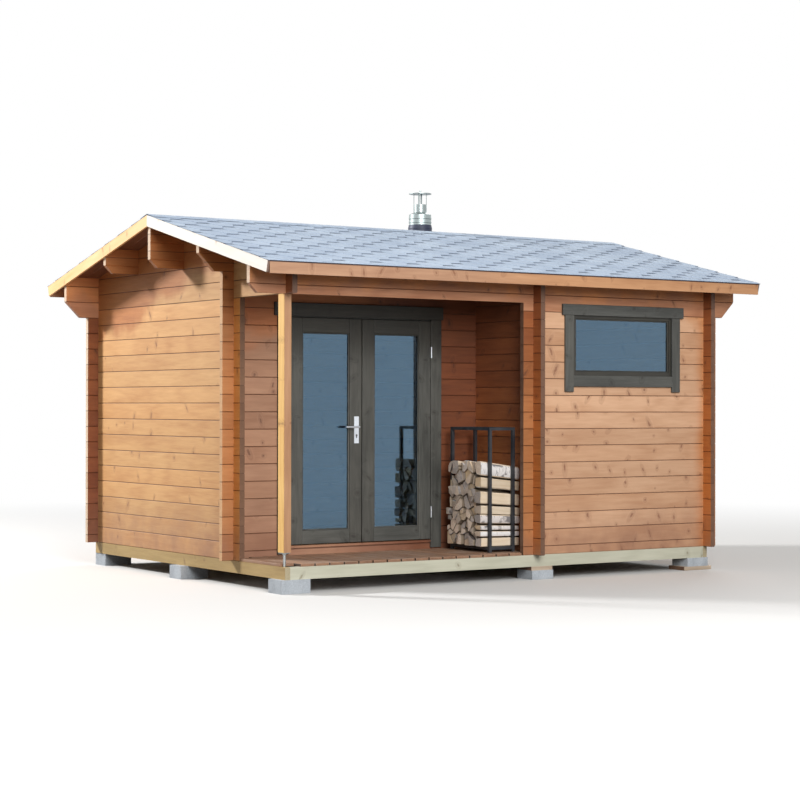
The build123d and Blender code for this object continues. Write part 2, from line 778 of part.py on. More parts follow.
flashing_reach = 215
flashing_stand = 130        # cone over the covering
flashing_low_radius = 145
flashing_low_depth = 20
flashing_foot_radius = 175
flashing_foot_depth = 90
flashing_neck = 4
flashing_flare_reach = 14   # where the skirt begins
flashing_flare_stand = 50   # over the covering
collar_radius = 109
collar_height = 22
collar_droop = 14
collar_edge = 4
collar_lip = 3
flashing_top = roof_top_at_flue + flashing_stand
collar_top = flashing_top + collar_height
flashing_foot = roof_top_at_flue - flashing_foot_depth
with BuildPart() as flue_flashing:
    turned([(flue_radius, flashing_foot), (flashing_foot_radius, flashing_foot),
            (flashing_low_radius, roof_top_at_flue - flashing_low_depth),
            (flue_radius + flashing_flare_reach, roof_top_at_flue + flashing_flare_stand),
            (flue_radius + flashing_neck, flashing_top), (flue_radius, flashing_top)])
    turned([(flue_radius, flashing_top), (collar_radius, flashing_top - collar_droop),
            (collar_radius, flashing_top - collar_droop + collar_edge),
            (flue_radius + collar_lip, collar_top), (flue_radius, collar_top)])
    with BuildSketch(Plane.YZ.offset(flue_x - flashing_reach)):
        with BuildLine():
            Polyline((flue_y - flashing_reach, 0), (flue_y + flashing_reach, 0),
                     (flue_y + flashing_reach, soffit(flue_y + flashing_reach) + cover_rise),
                     (flue_y - flashing_reach, soffit(flue_y - flashing_reach) + cover_rise), close=True)
        make_face()
    extrude(amount=2 * flashing_reach, mode=Mode.SUBTRACT)
finish(flue_flashing, "flue_flashing")

# Steel rack for firewood in the porch
tube = 25
rack_width = 258
rack_depth = 550
rack_height = 1018
rack_setback = 138          # behind the wall face
rack_wall_gap = 82
rack_foot = 22
rack_right = side_face - rack_wall_gap
rack_left = rack_right - rack_width
rack_front = front_face + rack_setback
rack_back = rack_front + rack_depth
rack_low = log_base + deck_thickness
rack_top = rack_low + rack_height
with BuildPart() as rack_posts:
    with BuildSketch(Plane.XY.offset(rack_low)):
        with Locations(((rack_left + rack_right) / 2, (rack_front + rack_back) / 2)):
            with GridLocations(rack_right - rack_left - tube, rack_back - rack_front - tube, 2, 2):
                Rectangle(tube, tube)
    extrude(amount=rack_top - rack_low)
finish(rack_posts, "rack_posts")

with BuildPart() as rack_rails:
    for low in (rack_low + rack_foot, rack_top - tube):
        for near in (rack_front, rack_back - tube):
            box_between(rack_left + tube, rack_right - tube, near, near + tube, low, low + tube)
        for near in (rack_left, rack_right - tube):
            box_between(near, near + tube, rack_front + tube, rack_back - tube, low, low + tube)
finish(rack_rails, "rack_rails")

# Stack of split firewood lying across the rack
stack_length = 400
stack_wall_gap = 10
stack_gap = 2
stack_height = 699
stack_fall = 56
stack_right = side_face - stack_wall_gap
stack_left = stack_right - stack_length
stack_low = rack_low + rack_foot + tube
stack_top = stack_low + stack_height
with BuildPart() as firewood:
    with BuildSketch(Plane.XZ.offset(-rack_back + tube + stack_gap)):
        with BuildLine():
            Polyline((stack_left, stack_low), (stack_right, stack_low),
                     (stack_right, stack_top - stack_fall), (stack_left, stack_top), close=True)
        make_face()
    extrude(amount=rack_back - rack_front - 2 * tube - 2 * stack_gap)
finish(firewood, "firewood")

print(len(finished), "sub-parts; roof pitch", round(roof_pitch, 2))
print("ridge top", round(ridge_soffit + cap_rise, 1))
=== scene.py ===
import bpy
import bmesh
import math
import random
from functools import partialmethod
from mathutils import Matrix, Vector


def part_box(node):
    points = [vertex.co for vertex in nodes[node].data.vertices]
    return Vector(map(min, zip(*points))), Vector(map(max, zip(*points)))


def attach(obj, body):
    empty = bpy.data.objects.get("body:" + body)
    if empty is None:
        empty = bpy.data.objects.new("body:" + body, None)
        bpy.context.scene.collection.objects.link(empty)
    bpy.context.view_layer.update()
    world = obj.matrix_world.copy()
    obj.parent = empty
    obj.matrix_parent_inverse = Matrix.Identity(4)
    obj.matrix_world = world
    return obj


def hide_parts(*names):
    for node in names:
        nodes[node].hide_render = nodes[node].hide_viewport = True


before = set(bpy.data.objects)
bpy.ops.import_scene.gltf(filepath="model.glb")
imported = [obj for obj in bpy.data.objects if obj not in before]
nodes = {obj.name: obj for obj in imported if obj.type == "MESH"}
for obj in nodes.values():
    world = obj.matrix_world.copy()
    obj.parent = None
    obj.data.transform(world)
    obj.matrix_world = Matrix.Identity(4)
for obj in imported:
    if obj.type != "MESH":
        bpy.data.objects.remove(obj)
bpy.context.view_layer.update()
print("frame loaded,", len(nodes), "nodes")


def addObject(name, data):
    made = bpy.data.objects.new(name, data)
    bpy.context.scene.collection.objects.link(made)
    return made


# Camera, at the viewing angle of the picture, angles in degrees
cameraView = {
    "place": (-9.613, -14.430, 1.413), "lens": 88.74, "sensor": 36.0, "reach": 200.0,
    "turn": 33.73, "tilt": 0.173, "roll": 0.101,  # the turn is from +Y towards +X
}


def addCamera(view):
    turn, tilt, roll = (math.radians(view[key]) for key in ("turn", "tilt", "roll"))
    ahead = Vector((math.sin(turn) * math.cos(tilt), math.cos(turn) * math.cos(tilt), math.sin(tilt)))
    right = Vector((math.cos(turn), -math.sin(turn), 0))
    up = right.cross(ahead)
    rolledRight = right * math.cos(roll) + up * math.sin(roll)
    rolledUp = up * math.cos(roll) - right * math.sin(roll)
    data = bpy.data.cameras.new("camera")
    data.lens, data.sensor_width, data.clip_end = view["lens"], view["sensor"], view["reach"]
    camera = addObject("camera", data)
    turned = Matrix((rolledRight, rolledUp, -ahead)).transposed().to_4x4()
    camera.matrix_world = Matrix.Translation(Vector(view["place"])) @ turned
    bpy.context.scene.camera = camera


addCamera(cameraView)
print("camera placed")


# A socket that takes plain arithmetic: each sign adds a Math node to its tree
class Value:
    def __init__(self, socket):
        self.socket, self.tree = socket, socket.id_data

    def maths(self, operation, *others, clamp=False):
        sockets = dict(enumerate((self, *others)))
        return place(self.tree, "Math", sockets, operation=operation, use_clamp=clamp)[0]

    def __rsub__(self, other):
        return place(self.tree, "Math", {0: other, 1: self}, operation="SUBTRACT")[0]

    __add__ = __radd__ = partialmethod(maths, "ADD")
    __sub__ = partialmethod(maths, "SUBTRACT")
    __mul__ = __rmul__ = partialmethod(maths, "MULTIPLY")
    __truediv__ = partialmethod(maths, "DIVIDE")
    __pow__ = partialmethod(maths, "POWER")
    __lt__ = partialmethod(maths, "LESS_THAN")
    __gt__ = partialmethod(maths, "GREATER_THAN")
    __abs__ = partialmethod(maths, "ABSOLUTE")


# The outputs of a node as values, by name or number
class Outputs:
    def __init__(self, node):
        self.node = node

    def __getitem__(self, key):
        return Value(self.node.outputs[key])


# Node tools
def feed(socket, value):
    if isinstance(value, Value):
        value.tree.links.new(value.socket, socket)
    else:
        socket.default_value = value


def place(tree, kind, sockets=None, **settings):
    made = tree.nodes.new("ShaderNode" + kind)
    for key, value in settings.items():
        setattr(made, key, value)
    for key, value in (sockets or {}).items():
        feed(made.inputs[key], value)
    return Outputs(made)


def mix(factor, first, second, mode="MIX"):
    sockets = {0: factor, 6: first, 7: second}
    return place(factor.tree, "Mix", sockets, data_type="RGBA", blend_type=mode)[2]


def remap(value, low, high, toLow=0.0, toHigh=1.0, kind="LINEAR"):
    sockets = dict(enumerate((value, low, high, toLow, toHigh)))
    return place(value.tree, "MapRange", sockets, interpolation_type=kind)[0]


def fade(value, start, end, most=1.0):
    return remap(value, start, end, 0.0, most, "SMOOTHSTEP")


def between(chance, low, high):
    return remap(chance, 0, 1, low, high)


noiseRange = (0.3, 0.7)  # most of a noise lies in it


def spread(cloud, low, high):
    return remap(cloud, *noiseRange, low, high)


def noise(vector, scale=1.0, detail=2.0, roughness=0.5):
    sockets = {"Vector": vector, "Scale": scale, "Detail": detail, "Roughness": roughness}
    return place(vector.tree, "TexNoise", sockets)[0]


# Random numbers that stay the same for one seed
def chances(seed):
    return place(seed.tree, "TexWhiteNoise", {"W": seed}, noise_dimensions="1D")


def joined(*parts):
    tree = next(part.tree for part in parts if isinstance(part, Value))
    return place(tree, "CombineXYZ", dict(enumerate(parts)))[0]


def parted(vector):
    return list(place(vector.tree, "SeparateXYZ", {0: vector}))


def vectorMaths(operation, vector, sockets=None, output="Vector"):
    return place(vector.tree, "VectorMath", {0: vector, **(sockets or {})}, operation=operation)[output]


def scaled(vector, amount):
    return vectorMaths("SCALE", vector, {"Scale": amount})


def lengthOf(vector):
    return vectorMaths("LENGTH", vector, output="Value")


def useGroup(group, tree, sockets):
    return place(tree, "Group", sockets, node_tree=group)


def shade(red, green, blue):
    def straight(part):
        part = part / 255
        return part / 12.92 if part <= 0.04045 else ((part + 0.055) / 1.055) ** 2.4
    return (straight(red), straight(green), straight(blue), 1.0)


# A group's inputs are given by their plain values, None for a vector
def startGroup(name, inputs):
    group = bpy.data.node_groups.new(name, "ShaderNodeTree")
    kinds = {type(None): "Vector", float: "Float", tuple: "Color"}
    for label, value in inputs.items():
        kind = "NodeSocket" + kinds[type(value)]
        socket = group.interface.new_socket(name=label, in_out="INPUT", socket_type=kind)
        if value is not None:
            socket.default_value = value
    return group, Outputs(group.nodes.new("NodeGroupInput"))


def endGroup(group, results):
    for label, value in results.items():
        kind = value.socket.bl_idname
        group.interface.new_socket(name=label, in_out="OUTPUT", socket_type=kind)
    result = group.nodes.new("NodeGroupOutput")
    for label, value in results.items():
        feed(result.inputs[label], value)
    return group


# Shared effects
white, black = (1.0, 1.0, 1.0, 1.0), (0.0, 0.0, 0.0, 1.0)
grainValues = {
    "knotCells": (6.2, 7.1),         # in a metre along and across, with at most one knot in each
    "knotRadius": (0.0045, 0.0105),
    "knotStretch": (0.9, 4.0),
    "heartSpread": 0.16,
    "rings": 215.0,                  # in a metre
    "rosy": (1.0, 0.90, 0.80, 1.0),
    "rim": (60, 32, 20),
    "strength": {"rosy": 0.6, "halo": 0.24, "knot": 0.7, "rim": 0.16},
}


# u runs along the grain, v across it and w into the wood
def buildWoodGrain():
    values, strength = grainValues, grainValues["strength"]
    group, given = startGroup("woodGrain", {
        "Vector": None, "Seed": 0.0, "Light": white, "Dark": white, "Knot Colour": white, "Rings": 0.4,
        "Knots": 0.3, "Tone": 0.2, "Blotches": 0.4,
    })
    seed = given["Seed"]
    moved = vectorMaths("ADD", given["Vector"], {1: joined(seed * 37.1, seed * 11.3, seed * 5.7)})
    u, v, w = parted(moved)
    toneChance, heartChance, rosyChance = parted(chances(seed)["Color"])
    # knots, round or leaning either way
    perU, perV = values["knotCells"]
    sockets = {"Vector": joined(u * perU, v * perV, 0.0), "Scale": 1.0, "Randomness": 0.85}
    cells = place(group, "TexVoronoi", sockets, voronoi_dimensions="2D", feature="F1")
    chance, size, lean = parted(cells["Color"])
    spot = parted(cells["Position"])
    offU, offV = u - spot[0] / perU, v - spot[1] / perV
    angle = (lean - 0.5) * 1.5
    cosine, sine = angle.maths("COSINE"), angle.maths("SINE")
    narrow = between(size, *values["knotRadius"])
    stretch = between((size * 7.3).maths("FRACT") ** 2.0, *values["knotStretch"])
    partU = (offU * cosine + offV * sine) / narrow
    partV = (offV * cosine - offU * sine) / (narrow * stretch)
    distance = (partU * partU + partV * partV).maths("SQRT")
    keep = chance < given["Knots"]
    ragged = distance + spread(noise(moved, 70), -0.4, 0.4)
    knot = keep * fade(ragged, 1.45, 0.4)
    rim = keep * fade(abs(ragged - 1.0), 0.3, 0.0)
    halo = keep * fade(distance, 5.0, 0.8)
    # growth rings: the board is cut near a heart line that wanders in depth
    wander = noise(joined(u * 0.42, seed, 0.0), detail=1.0)
    depth = remap(wander, 0.25, 0.75, 0.004, 0.026) + w * 0.1
    heart = (heartChance - 0.5) * values["heartSpread"]
    side = parted(given["Vector"])[1].maths("WRAP", 0.08, -0.08) - heart
    radius = (side * side + depth * depth).maths("SQRT")
    waver = noise(joined(u * 1.6, v * 18.0, w), detail=1.0)
    phase = radius * values["rings"] + (waver * 0.9 + halo * 1.4)
    wave = remap((phase * 6.2832).maths("SINE"), -1, 1)
    ring = wave ** 2.2 - 0.3
    fibre = noise(joined(u * 7.0, v * 330.0, w * 330.0))
    wide = noise(joined(u * 1.1, v * 6.0, w))
    streak = noise(joined(u * 4.5, v * 38.0, w), detail=3.0)
    patches = spread(wide, -0.5, 0.5) + spread(streak, -0.4, 0.4)
    mixing = ring * given["Rings"] + (spread(fibre, -0.12, 0.12) + patches * given["Blotches"])
    plain = mix(mixing.maths("ADD", 0.45, clamp=True), given["Light"], given["Dark"])
    plain = mix(rosyChance * strength["rosy"], plain, values["rosy"], "MULTIPLY")
    toned = scaled(plain, 1.03 + (toneChance - 0.5) * given["Tone"])
    ringed = mix(halo * strength["halo"], toned, given["Knot Colour"])
    knotted = mix(knot * strength["knot"], ringed, given["Knot Colour"])
    return endGroup(group, {
        "Color": mix(rim * strength["rim"], knotted, shade(*values["rim"])),
        "Roughness": remap(fibre, 0.2, 0.8, 0.46, 0.68) - knot * 0.1,
        "Height": wave * 0.35 + (fibre * 0.8 - rim * 0.5),
    })


courseValues = {"base": 0.2, "height": 0.137, "joint": (0.0050, 0.0012), "damp": (0.75, 0.2)}


def buildLogCourses():
    values = courseValues
    group, given = startGroup("logCourses", {"Vector": None, "Normal": None, "Along Y": 0.0, "Shift": 0.0,
                                             "Stack": 0.0})
    x, y, z = parted(given["Vector"])
    normals = parted(given["Normal"])
    along, across, facing = (
        place(group, "Mix", {0: given["Along Y"], 2: one, 3: other}, data_type="FLOAT")[0]
        for one, other in ((x, y), (y, x), normals[:2]))
    count = (z - values["base"]) / values["height"] + given["Shift"]
    number = count.maths("FLOOR")
    part = count - number
    gap = part.maths("MINIMUM", 1.0 - part) * values["height"]
    return endGroup(group, {
        "Vector": joined(along, (part - 0.5) * values["height"], across),
        "Seed": number * 1.37 + given["Stack"],
        "Joint": fade(gap, *values["joint"]),
        "End": remap(abs(facing), 0.8, 0.95),
        "Damp": fade(z, *values["damp"]),
    })


roomValues = {"side": 2.09, "ends": 1.63, "porch": -0.83, "middle": 0.24, "reach": 0.03}


# The wall faces that look into the rooms are left bare
def buildRoomSide():
    values = roomValues
    group, given = startGroup("roomSide", {"Vector": None, "Normal": None})
    out = scaled(given["Normal"], values["reach"])
    x, y = parted(vectorMaths("ADD", given["Vector"], {1: out}))[:2]
    front = between(x > values["middle"], values["porch"], -values["ends"])
    return endGroup(group, {"Inside": (abs(x) < values["side"]) * ((y < values["ends"]) * (y > front))})


# Masks for painted shade on the walls, in places together with a less bleached stain: under the eaves,
# along a line that leans like the roof's shadow on the gables, towards a shaded end of a wall and under the
# porch roof; and for the log ends beyond the corners, which are painted in their shaded colours
def buildShadeAndShelter():
    group, given = startGroup("shadeAndShelter", {
        "Vector": None, "Along": 0.0, "Side From": 9.0, "Side To": 9.5, "Eaves From": 1.95, "Eaves To": 2.2,
        "Corner Low": -9.0, "Corner High": 9.0, "Corner Reach": 0.5, "Eaves Lean": 0.0, "Top From": 9.0,
    })
    z, along, top = parted(given["Vector"])[2], given["Along"], given["Top From"]
    ragged = spread(noise(given["Vector"], 2.5, 3), -0.1, 0.1)
    beyond = (given["Corner Low"] - along).maths("MAXIMUM", along - given["Corner High"])
    corner = (beyond > 0.0) * (beyond < given["Corner Reach"])
    return endGroup(group, {
        # Eaves Lean tilts the edge of the painted shade to follow the roof's shadow on the gables
        "Eaves": fade(z + ragged + along * given["Eaves Lean"], given["Eaves From"], given["Eaves To"]),
        "Side": fade(along + ragged * 0.4, given["Side From"], given["Side To"]),
        "Corner": corner,
        "High Corner": corner * remap(z, 0.7, 2.1),
        "Top": fade(z, top, top + 0.5),
    })


def buildEndGrain():
    group, given = startGroup("endGrain", {"Vector": None, "Seed": 0.0, "Light": white, "Dark": white,
                                           "Spacing": 1300.0})
    spot = given["Vector"]
    v, w = parted(spot)[1:]
    offset, tone, turn = parted(chances(given["Seed"])["Color"])
    away = lengthOf(joined(0.0, v - between(offset, -0.05, 0.05), w - between(turn, -0.05, 0.05)))
    wave = (away * given["Spacing"] + noise(spot, 22, 3) * 9.0).maths("SINE")
    cracks = remap(noise(spot, 130, 4, 0.7), 0.40, 0.62)
    stains = remap(noise(spot, 11, 3), 0.35, 0.65, 0, 0.35)
    worn = cracks * 0.35 + (stains + between(tone, -0.2, 0.2))
    mixing = remap(wave, -1, 1, 0, 0.25).maths("ADD", worn, clamp=True)
    return endGroup(group, {"Color": mix(mixing, given["Light"], given["Dark"]),
                            "Height": remap(wave, -1, 1, 0, 0.3) - cracks})


def buildSpeckle():
    group, given = startGroup("speckle", {"Vector": None, "First": white, "Second": black, "Size": 400.0,
                                          "Cloud": 3.0})
    cells = place(group, "TexVoronoi", {"Vector": given["Vector"], "Scale": given["Size"]})
    cloud = spread(noise(given["Vector"], given["Cloud"], 3), -0.2, 0.4)
    mixing = (parted(cells["Color"])[0] * 0.6).maths("ADD", cloud, clamp=True)
    colour = mix(mixing, given["First"], given["Second"])
    return endGroup(group, {"Color": colour, "Height": cells["Distance"]})


def buildBrushed():
    group, given = startGroup("brushed", {"Vector": None, "Stretch": None, "Base": white, "Low": 0.25,
                                          "High": 0.45})
    lines = noise(vectorMaths("MULTIPLY", given["Vector"], {1: given["Stretch"]}), detail=3)
    smear = noise(given["Vector"], 9.0, 3)
    return endGroup(group, {
        "Color": mix(remap(smear, 0.35, 0.7, 0.0, 0.22), given["Base"], shade(96, 98, 100)),
        "Roughness": spread(lines, given["Low"], given["High"]) + remap(smear, 0.4, 0.7, 0, 0.12),
        "Height": lines,
    })


woodGrain = buildWoodGrain()
logCourses = buildLogCourses()
roomSide = buildRoomSide()
shadeAndShelter = buildShadeAndShelter()
endGrain = buildEndGrain()
speckle = buildSpeckle()
brushed = buildBrushed()
print("shared effects built")


# Materials
def nodeOf(tree, kind):
    return next(item for item in tree.nodes if item.type == kind)


def freshMaterial(name):
    material = bpy.data.materials.new(name)
    material.use_nodes = True
    return material, material.node_tree


def finishMaterial(material, colour, roughness, height=None, strength=0.5, distance=0.0007, **others):
    tree = material.node_tree
    shader = nodeOf(tree, "BSDF_PRINCIPLED")
    for key, value in {"Base Color": colour, "Roughness": roughness, **others}.items():
        feed(shader.inputs[key], value)
    if height is not None:
        bump = place(tree, "Bump", {"Strength": strength, "Distance": distance, "Height": height})
        feed(shader.inputs["Normal"], bump["Normal"])
    return material


woodLooks = {  # light wood, dark wood, knots, and how much single boards differ in tone
    "front": ((216, 174, 140), (188, 142, 108), (126, 78, 54), 0.20),
    # painted shade with a less bleached stain: the front logs under the eaves and towards the right end
    "frontKept": ((198, 133, 78), (170, 105, 54), (118, 68, 38), 0.20),
    # painted shade: the log ends beyond the corners in shaded colours, darker still towards the eaves
    "cornerFront": ((190, 130, 80), (160, 102, 56), (112, 64, 34), 0.24),
    "cornerHigh": ((150, 88, 46), (118, 62, 30), (80, 40, 20), 0.24),
    "cornerBack": ((142, 82, 50), (112, 58, 34), (76, 38, 22), 0.24),
    "cornerSide": ((200, 124, 60), (168, 96, 42), (108, 56, 26), 0.24),
    "cornerLeft": ((226, 158, 86), (198, 126, 60), (120, 66, 32), 0.24),
    "gable": ((218, 172, 116), (188, 136, 84), (132, 82, 46), 0.20),
    # painted shadow: the roof's shadow on the upper gables
    "gableKept": ((186, 124, 70), (152, 92, 48), (104, 58, 30), 0.20),
    "eaves": ((194, 140, 106), (160, 106, 74), (110, 66, 42), 0.16),
    # painted shade: a lighter, more orange top of the eaves logs, the warm shade under the fascia
    "eavesKept": ((224, 156, 102), (192, 122, 72), (120, 70, 42), 0.16),
    # painted shade: the purlins take the deep, warm colour of their shade under the roof
    "purlin": ((190, 126, 72), (156, 94, 48), (104, 58, 30), 0.22),
    # painted shade of the side wall on the right part of the porch wall, with a less bleached stain
    "porch": ((122, 68, 38), (88, 46, 24), (60, 30, 18), 0.22),
    # painted light: the top of the porch wall lighter, as lit by light thrown back into the porch
    "porchHigh": ((216, 146, 100), (186, 116, 74), (116, 66, 42), 0.18),
    # painted shade under the porch roof
    "porchTop": ((104, 56, 34), (76, 38, 22), (52, 26, 16), 0.22),
    "porchBleached": ((186, 144, 116), (156, 114, 88), (100, 62, 44), 0.16),
    "side": ((176, 110, 62), (136, 76, 38), (88, 46, 26), 0.20),
    # painted shade: the porch side wall darker upwards
    "porchSide": ((134, 78, 44), (98, 52, 28), (72, 38, 22), 0.22),
    "inside": ((222, 188, 142), (194, 152, 104), (146, 92, 54), 0.10),
    "fascia": ((202, 152, 110), (170, 120, 82), (124, 74, 44), 0.10),
    "fasciaWorn": ((192, 150, 118), (160, 118, 90), (130, 84, 56), 0.10),
    # painted shadow under the drip edge
    "dripLine": ((92, 64, 52), (66, 44, 36), (50, 34, 28), 0.0),
    "rake": ((250, 212, 158), (236, 184, 120), (184, 132, 84), 0.06),
    # painted highlight: the rake boards of the front slope nearly white, as in bright sun
    "rakeWorn": ((252, 249, 244), (246, 238, 226), (200, 164, 130), 0.04),
    "post": ((188, 144, 108), (158, 114, 80), (124, 74, 46), 0.0),
    # painted light: the sunlit sides of the post
    "postSide": ((246, 202, 124), (224, 172, 94), (160, 104, 52), 0.0),
    "deck": ((170, 134, 108), (130, 96, 74), (88, 60, 46), 0.34),
    "floor": ((214, 178, 132), (184, 142, 98), (136, 86, 52), 0.14),
    # painted shade: a dark red-brown stain, darkened further to the shade under the roof
    "roof": ((116, 68, 40), (84, 46, 26), (70, 36, 20), 0.20),
    "bearer": ((202, 205, 190), (178, 181, 164), (140, 130, 106), 0.08),
    # painted shade: the sides of the bearers, and the joists, in a shaded colour
    "bearerSide": ((184, 158, 106), (154, 128, 80), (120, 88, 52), 0.08),
    "plank": ((206, 190, 170), (166, 148, 130), (112, 92, 74), 0.1),
    "stained": ((86, 87, 83), (52, 53, 50), (38, 36, 32), 0.18),
    # painted shade: the stained wood as it looks in shade
    "stainedShaded": ((54, 53, 47), (33, 32, 28), (26, 24, 21), 0.14),
    "split": ((232, 218, 198), (212, 192, 162), (166, 130, 96), 0.24),
}
endLooks = {  # light and dark end grain
    "log": ((116, 87, 69), (76, 55, 44)),
    # painted light: end grain in sun, for the ends at the outer corners
    "paleStub": ((222, 180, 134), (185, 140, 96)),
    "palePurlin": ((236, 214, 188), (196, 164, 132)),
    "trim": ((128, 88, 62), (76, 48, 34)),
    "bearer": ((184, 172, 142), (136, 124, 100)),
    "stained": ((84, 80, 72), (50, 47, 42)),
    "deck": ((168, 128, 100), (104, 74, 56)),
    "floor": ((190, 156, 118), (140, 106, 74)),
    "roof": ((158, 112, 78), (104, 68, 44)),
    "split": ((238, 222, 204), (190, 164, 142)),
}
weatherValues = {
    "rings": 0.26, "damp": (144, 100, 78), "joint": (74, 42, 26), "jointStrength": 0.72,
    "worn": (168, 146, 128), "endStrength": 0.9, "outside": 2.0,
}


# changes are pairs of a mask and the look that shows there
def paintWood(tree, look, vector, seed, knots=0.26, blotches=0.42, changes=()):
    *colours, tone = woodLooks[look]
    colours = [shade(*colour) for colour in colours]
    for mask, other in changes:
        colours = [mix(mask, colour, shade(*new)) for colour, new in zip(colours, woodLooks[other])]
    return useGroup(woodGrain, tree, {
        "Vector": vector, "Seed": seed, "Light": colours[0], "Dark": colours[1], "Knot Colour": colours[2],
        "Rings": weatherValues["rings"], "Knots": knots, "Tone": tone, "Blotches": blotches,
    })


def paintEnds(tree, look, vector, seed, spacing=1300.0):
    light, dark = (shade(*colour) for colour in endLooks[look])
    return useGroup(endGrain, tree, {"Vector": vector, "Seed": seed, "Light": light, "Dark": dark,
                                     "Spacing": spacing})


def logMaterial(name, values):
    material, tree = freshMaterial(name)
    coords = place(tree, "TexCoord")
    spot, normal = coords["Object"], coords["Normal"]
    faces = {"Vector": spot, "Normal": normal}
    course = useGroup(logCourses, tree, {
        **faces, "Along Y": values["alongY"], "Shift": values["shift"], "Stack": values["stack"]})
    grainSpot, seed = course["Vector"], course["Seed"]
    along = parted(grainSpot)[0]
    inside = useGroup(roomSide, tree, faces)["Inside"]
    cover = useGroup(shadeAndShelter, tree, {
        "Vector": spot, "Along": along, "Side From": values["shadeAndShelter"][0], "Side To": values["shadeAndShelter"][1],
        "Eaves From": values["eaves"][0], "Eaves To": values["eaves"][1], "Eaves Lean": values["lean"],
        "Corner Low": values["corner"][0], "Corner High": values["corner"][1],
        "Corner Reach": values["cornerReach"], "Top From": values["top"],
    })
    # painted shade, partly with a less bleached stain, under the eaves and the porch roof and on the corner
    # stubs; painted light on the top of the porch wall
    wood = paintWood(tree, values["look"], grainSpot, seed, values["knots"], changes=(
        (cover["Eaves"], values["kept"]), (cover["Side"], values["sideKept"]), (cover["Top"], "porchTop"),
        (cover["Corner"], values["cornerLook"]), (cover["High Corner"], values["cornerTop"]),
        (inside, "inside")))
    dampness = course["Damp"] * spread(noise(spot, 4, 3), 0.25, 0.75) * (1.0 - inside)
    colour = mix(dampness, wood["Color"], shade(*weatherValues["damp"]))
    # painted light: only the ends at the outer corners take the pale colour of sunlit end grain
    inner, outer = (paintEnds(tree, look, grainSpot, seed)["Color"] for look in ("log", values["ends"]))
    ends = mix(abs(along) > weatherValues["outside"], inner, outer)
    colour = mix(course["End"] * weatherValues["endStrength"], colour, ends)
    # painted shadow and dirt in the joints between the courses
    colour = mix(course["Joint"] * weatherValues["jointStrength"], colour, shade(*weatherValues["joint"]))
    return finishMaterial(material, colour, wood["Roughness"], wood["Height"])


# The places and seeds that markGrain writes on a mesh
def grainOf(tree):
    return (place(tree, "Attribute", attribute_name="grainPlace")["Vector"],
            place(tree, "Attribute", attribute_name="grainSeed")["Fac"])


# darkens the faces that grainGap marks
def darkenGaps(tree, colour, dirt):
    return mix(place(tree, "Attribute", attribute_name="grainGap")["Fac"], colour, shade(*dirt))


# gaps is the colour of the darkened board sides; the look given above a height is painted shade, with the
# heights between which it takes over
def boardMaterial(name, look, knots=0.26, blotches=0.42, strength=0.5, worn=0.0, gaps=None, shadeAbove=None):
    material, tree = freshMaterial(name)
    spot, seed = grainOf(tree)
    placed = place(tree, "TexCoord")["Object"]
    changes = []
    if shadeAbove:
        changes.append((fade(parted(placed)[2], *shadeAbove[1:]), shadeAbove[0]))
    wood = paintWood(tree, look, spot, seed, knots, blotches, changes)
    colour = wood["Color"]
    if worn:
        patches = remap(noise(placed, 3.2, 4), 0.42, 0.68, 0, worn)
        colour = mix(patches, colour, shade(*weatherValues["worn"]))
    if gaps:
        colour = darkenGaps(tree, colour, gaps)
    return finishMaterial(material, colour, wood["Roughness"], wood["Height"], strength)


def endMaterial(name, look):
    material, tree = freshMaterial(name)
    ends = paintEnds(tree, look, *grainOf(tree))
    return finishMaterial(material, ends["Color"], 0.75, ends["Height"], distance=0.0008)


# turn says which object axes are along, across and through the grain, lean tilts it down both slopes,
# sides is the look of the faces towards the gables, painted as sunlit on the post and as shaded on the
# bearers, and worn holds the changes, among them wear, a painted highlight and a painted shadow: for each,
# an axis, the two places between which it fades in and the look beyond them
def nodeWood(name, look, turn, ends="trim", knots=0.30, seed=0.0, lean=0.0, sides=None, worn=()):
    material, tree = freshMaterial(name)
    coords = place(tree, "TexCoord")
    axes, normals = parted(coords["Object"]), parted(coords["Normal"])
    parts = axes[:]
    if lean:
        away, height = abs(axes[1]), axes[2]
        parts[1] = away * math.cos(lean) - height * math.sin(lean)
        parts[2] = height * math.cos(lean) + away * math.sin(lean)
        seed = seed + axes[1].maths("SIGN")
    spot = joined(*[parts[axis] for axis in turn])
    changes = [(remap(abs(normals[0]), 0.6, 0.8), sides)] if sides else []
    changes += [(fade(axes[axis], start, end), other) for axis, start, end, other in worn]
    wood = paintWood(tree, look, spot, seed, knots, changes=changes)
    colour = wood["Color"]
    if not sides or turn[0] != 0:
        onEnd = remap(abs(normals[turn[0]]), 0.6, 0.8, 0, weatherValues["endStrength"])
        colour = mix(onEnd, colour, paintEnds(tree, ends, spot, seed)["Color"])
    return finishMaterial(material, colour, wood["Roughness"], wood["Height"])


seamValues = {"reach": (0.004, 0.001), "strength": 0.8, "colour": (70, 78, 78)}


# rough is the least and the most roughness, seams are the heights of thin dark joints
def metalMaterial(name, colour, rough, stretch=(40.0, 40.0, 900.0), metallic=1.0, bump=0.08, seams=()):
    material, tree = freshMaterial(name)
    spot = place(tree, "TexCoord")["Object"]
    metal = useGroup(brushed, tree, {"Vector": spot, "Stretch": stretch, "Base": shade(*colour),
                                     "Low": rough[0], "High": rough[1]})
    painted = metal["Color"]
    for seam in seams:
        near = fade(abs(parted(spot)[2] - seam), *seamValues["reach"], seamValues["strength"])
        painted = mix(near, painted, shade(*seamValues["colour"]))
    return finishMaterial(material, painted, metal["Roughness"], metal["Height"], bump, 0.0004,
                          Metallic=metallic)


concreteValues = {"First": shade(196, 202, 208), "Second": shade(150, 156, 162), "Size": 260, "Cloud": 7}


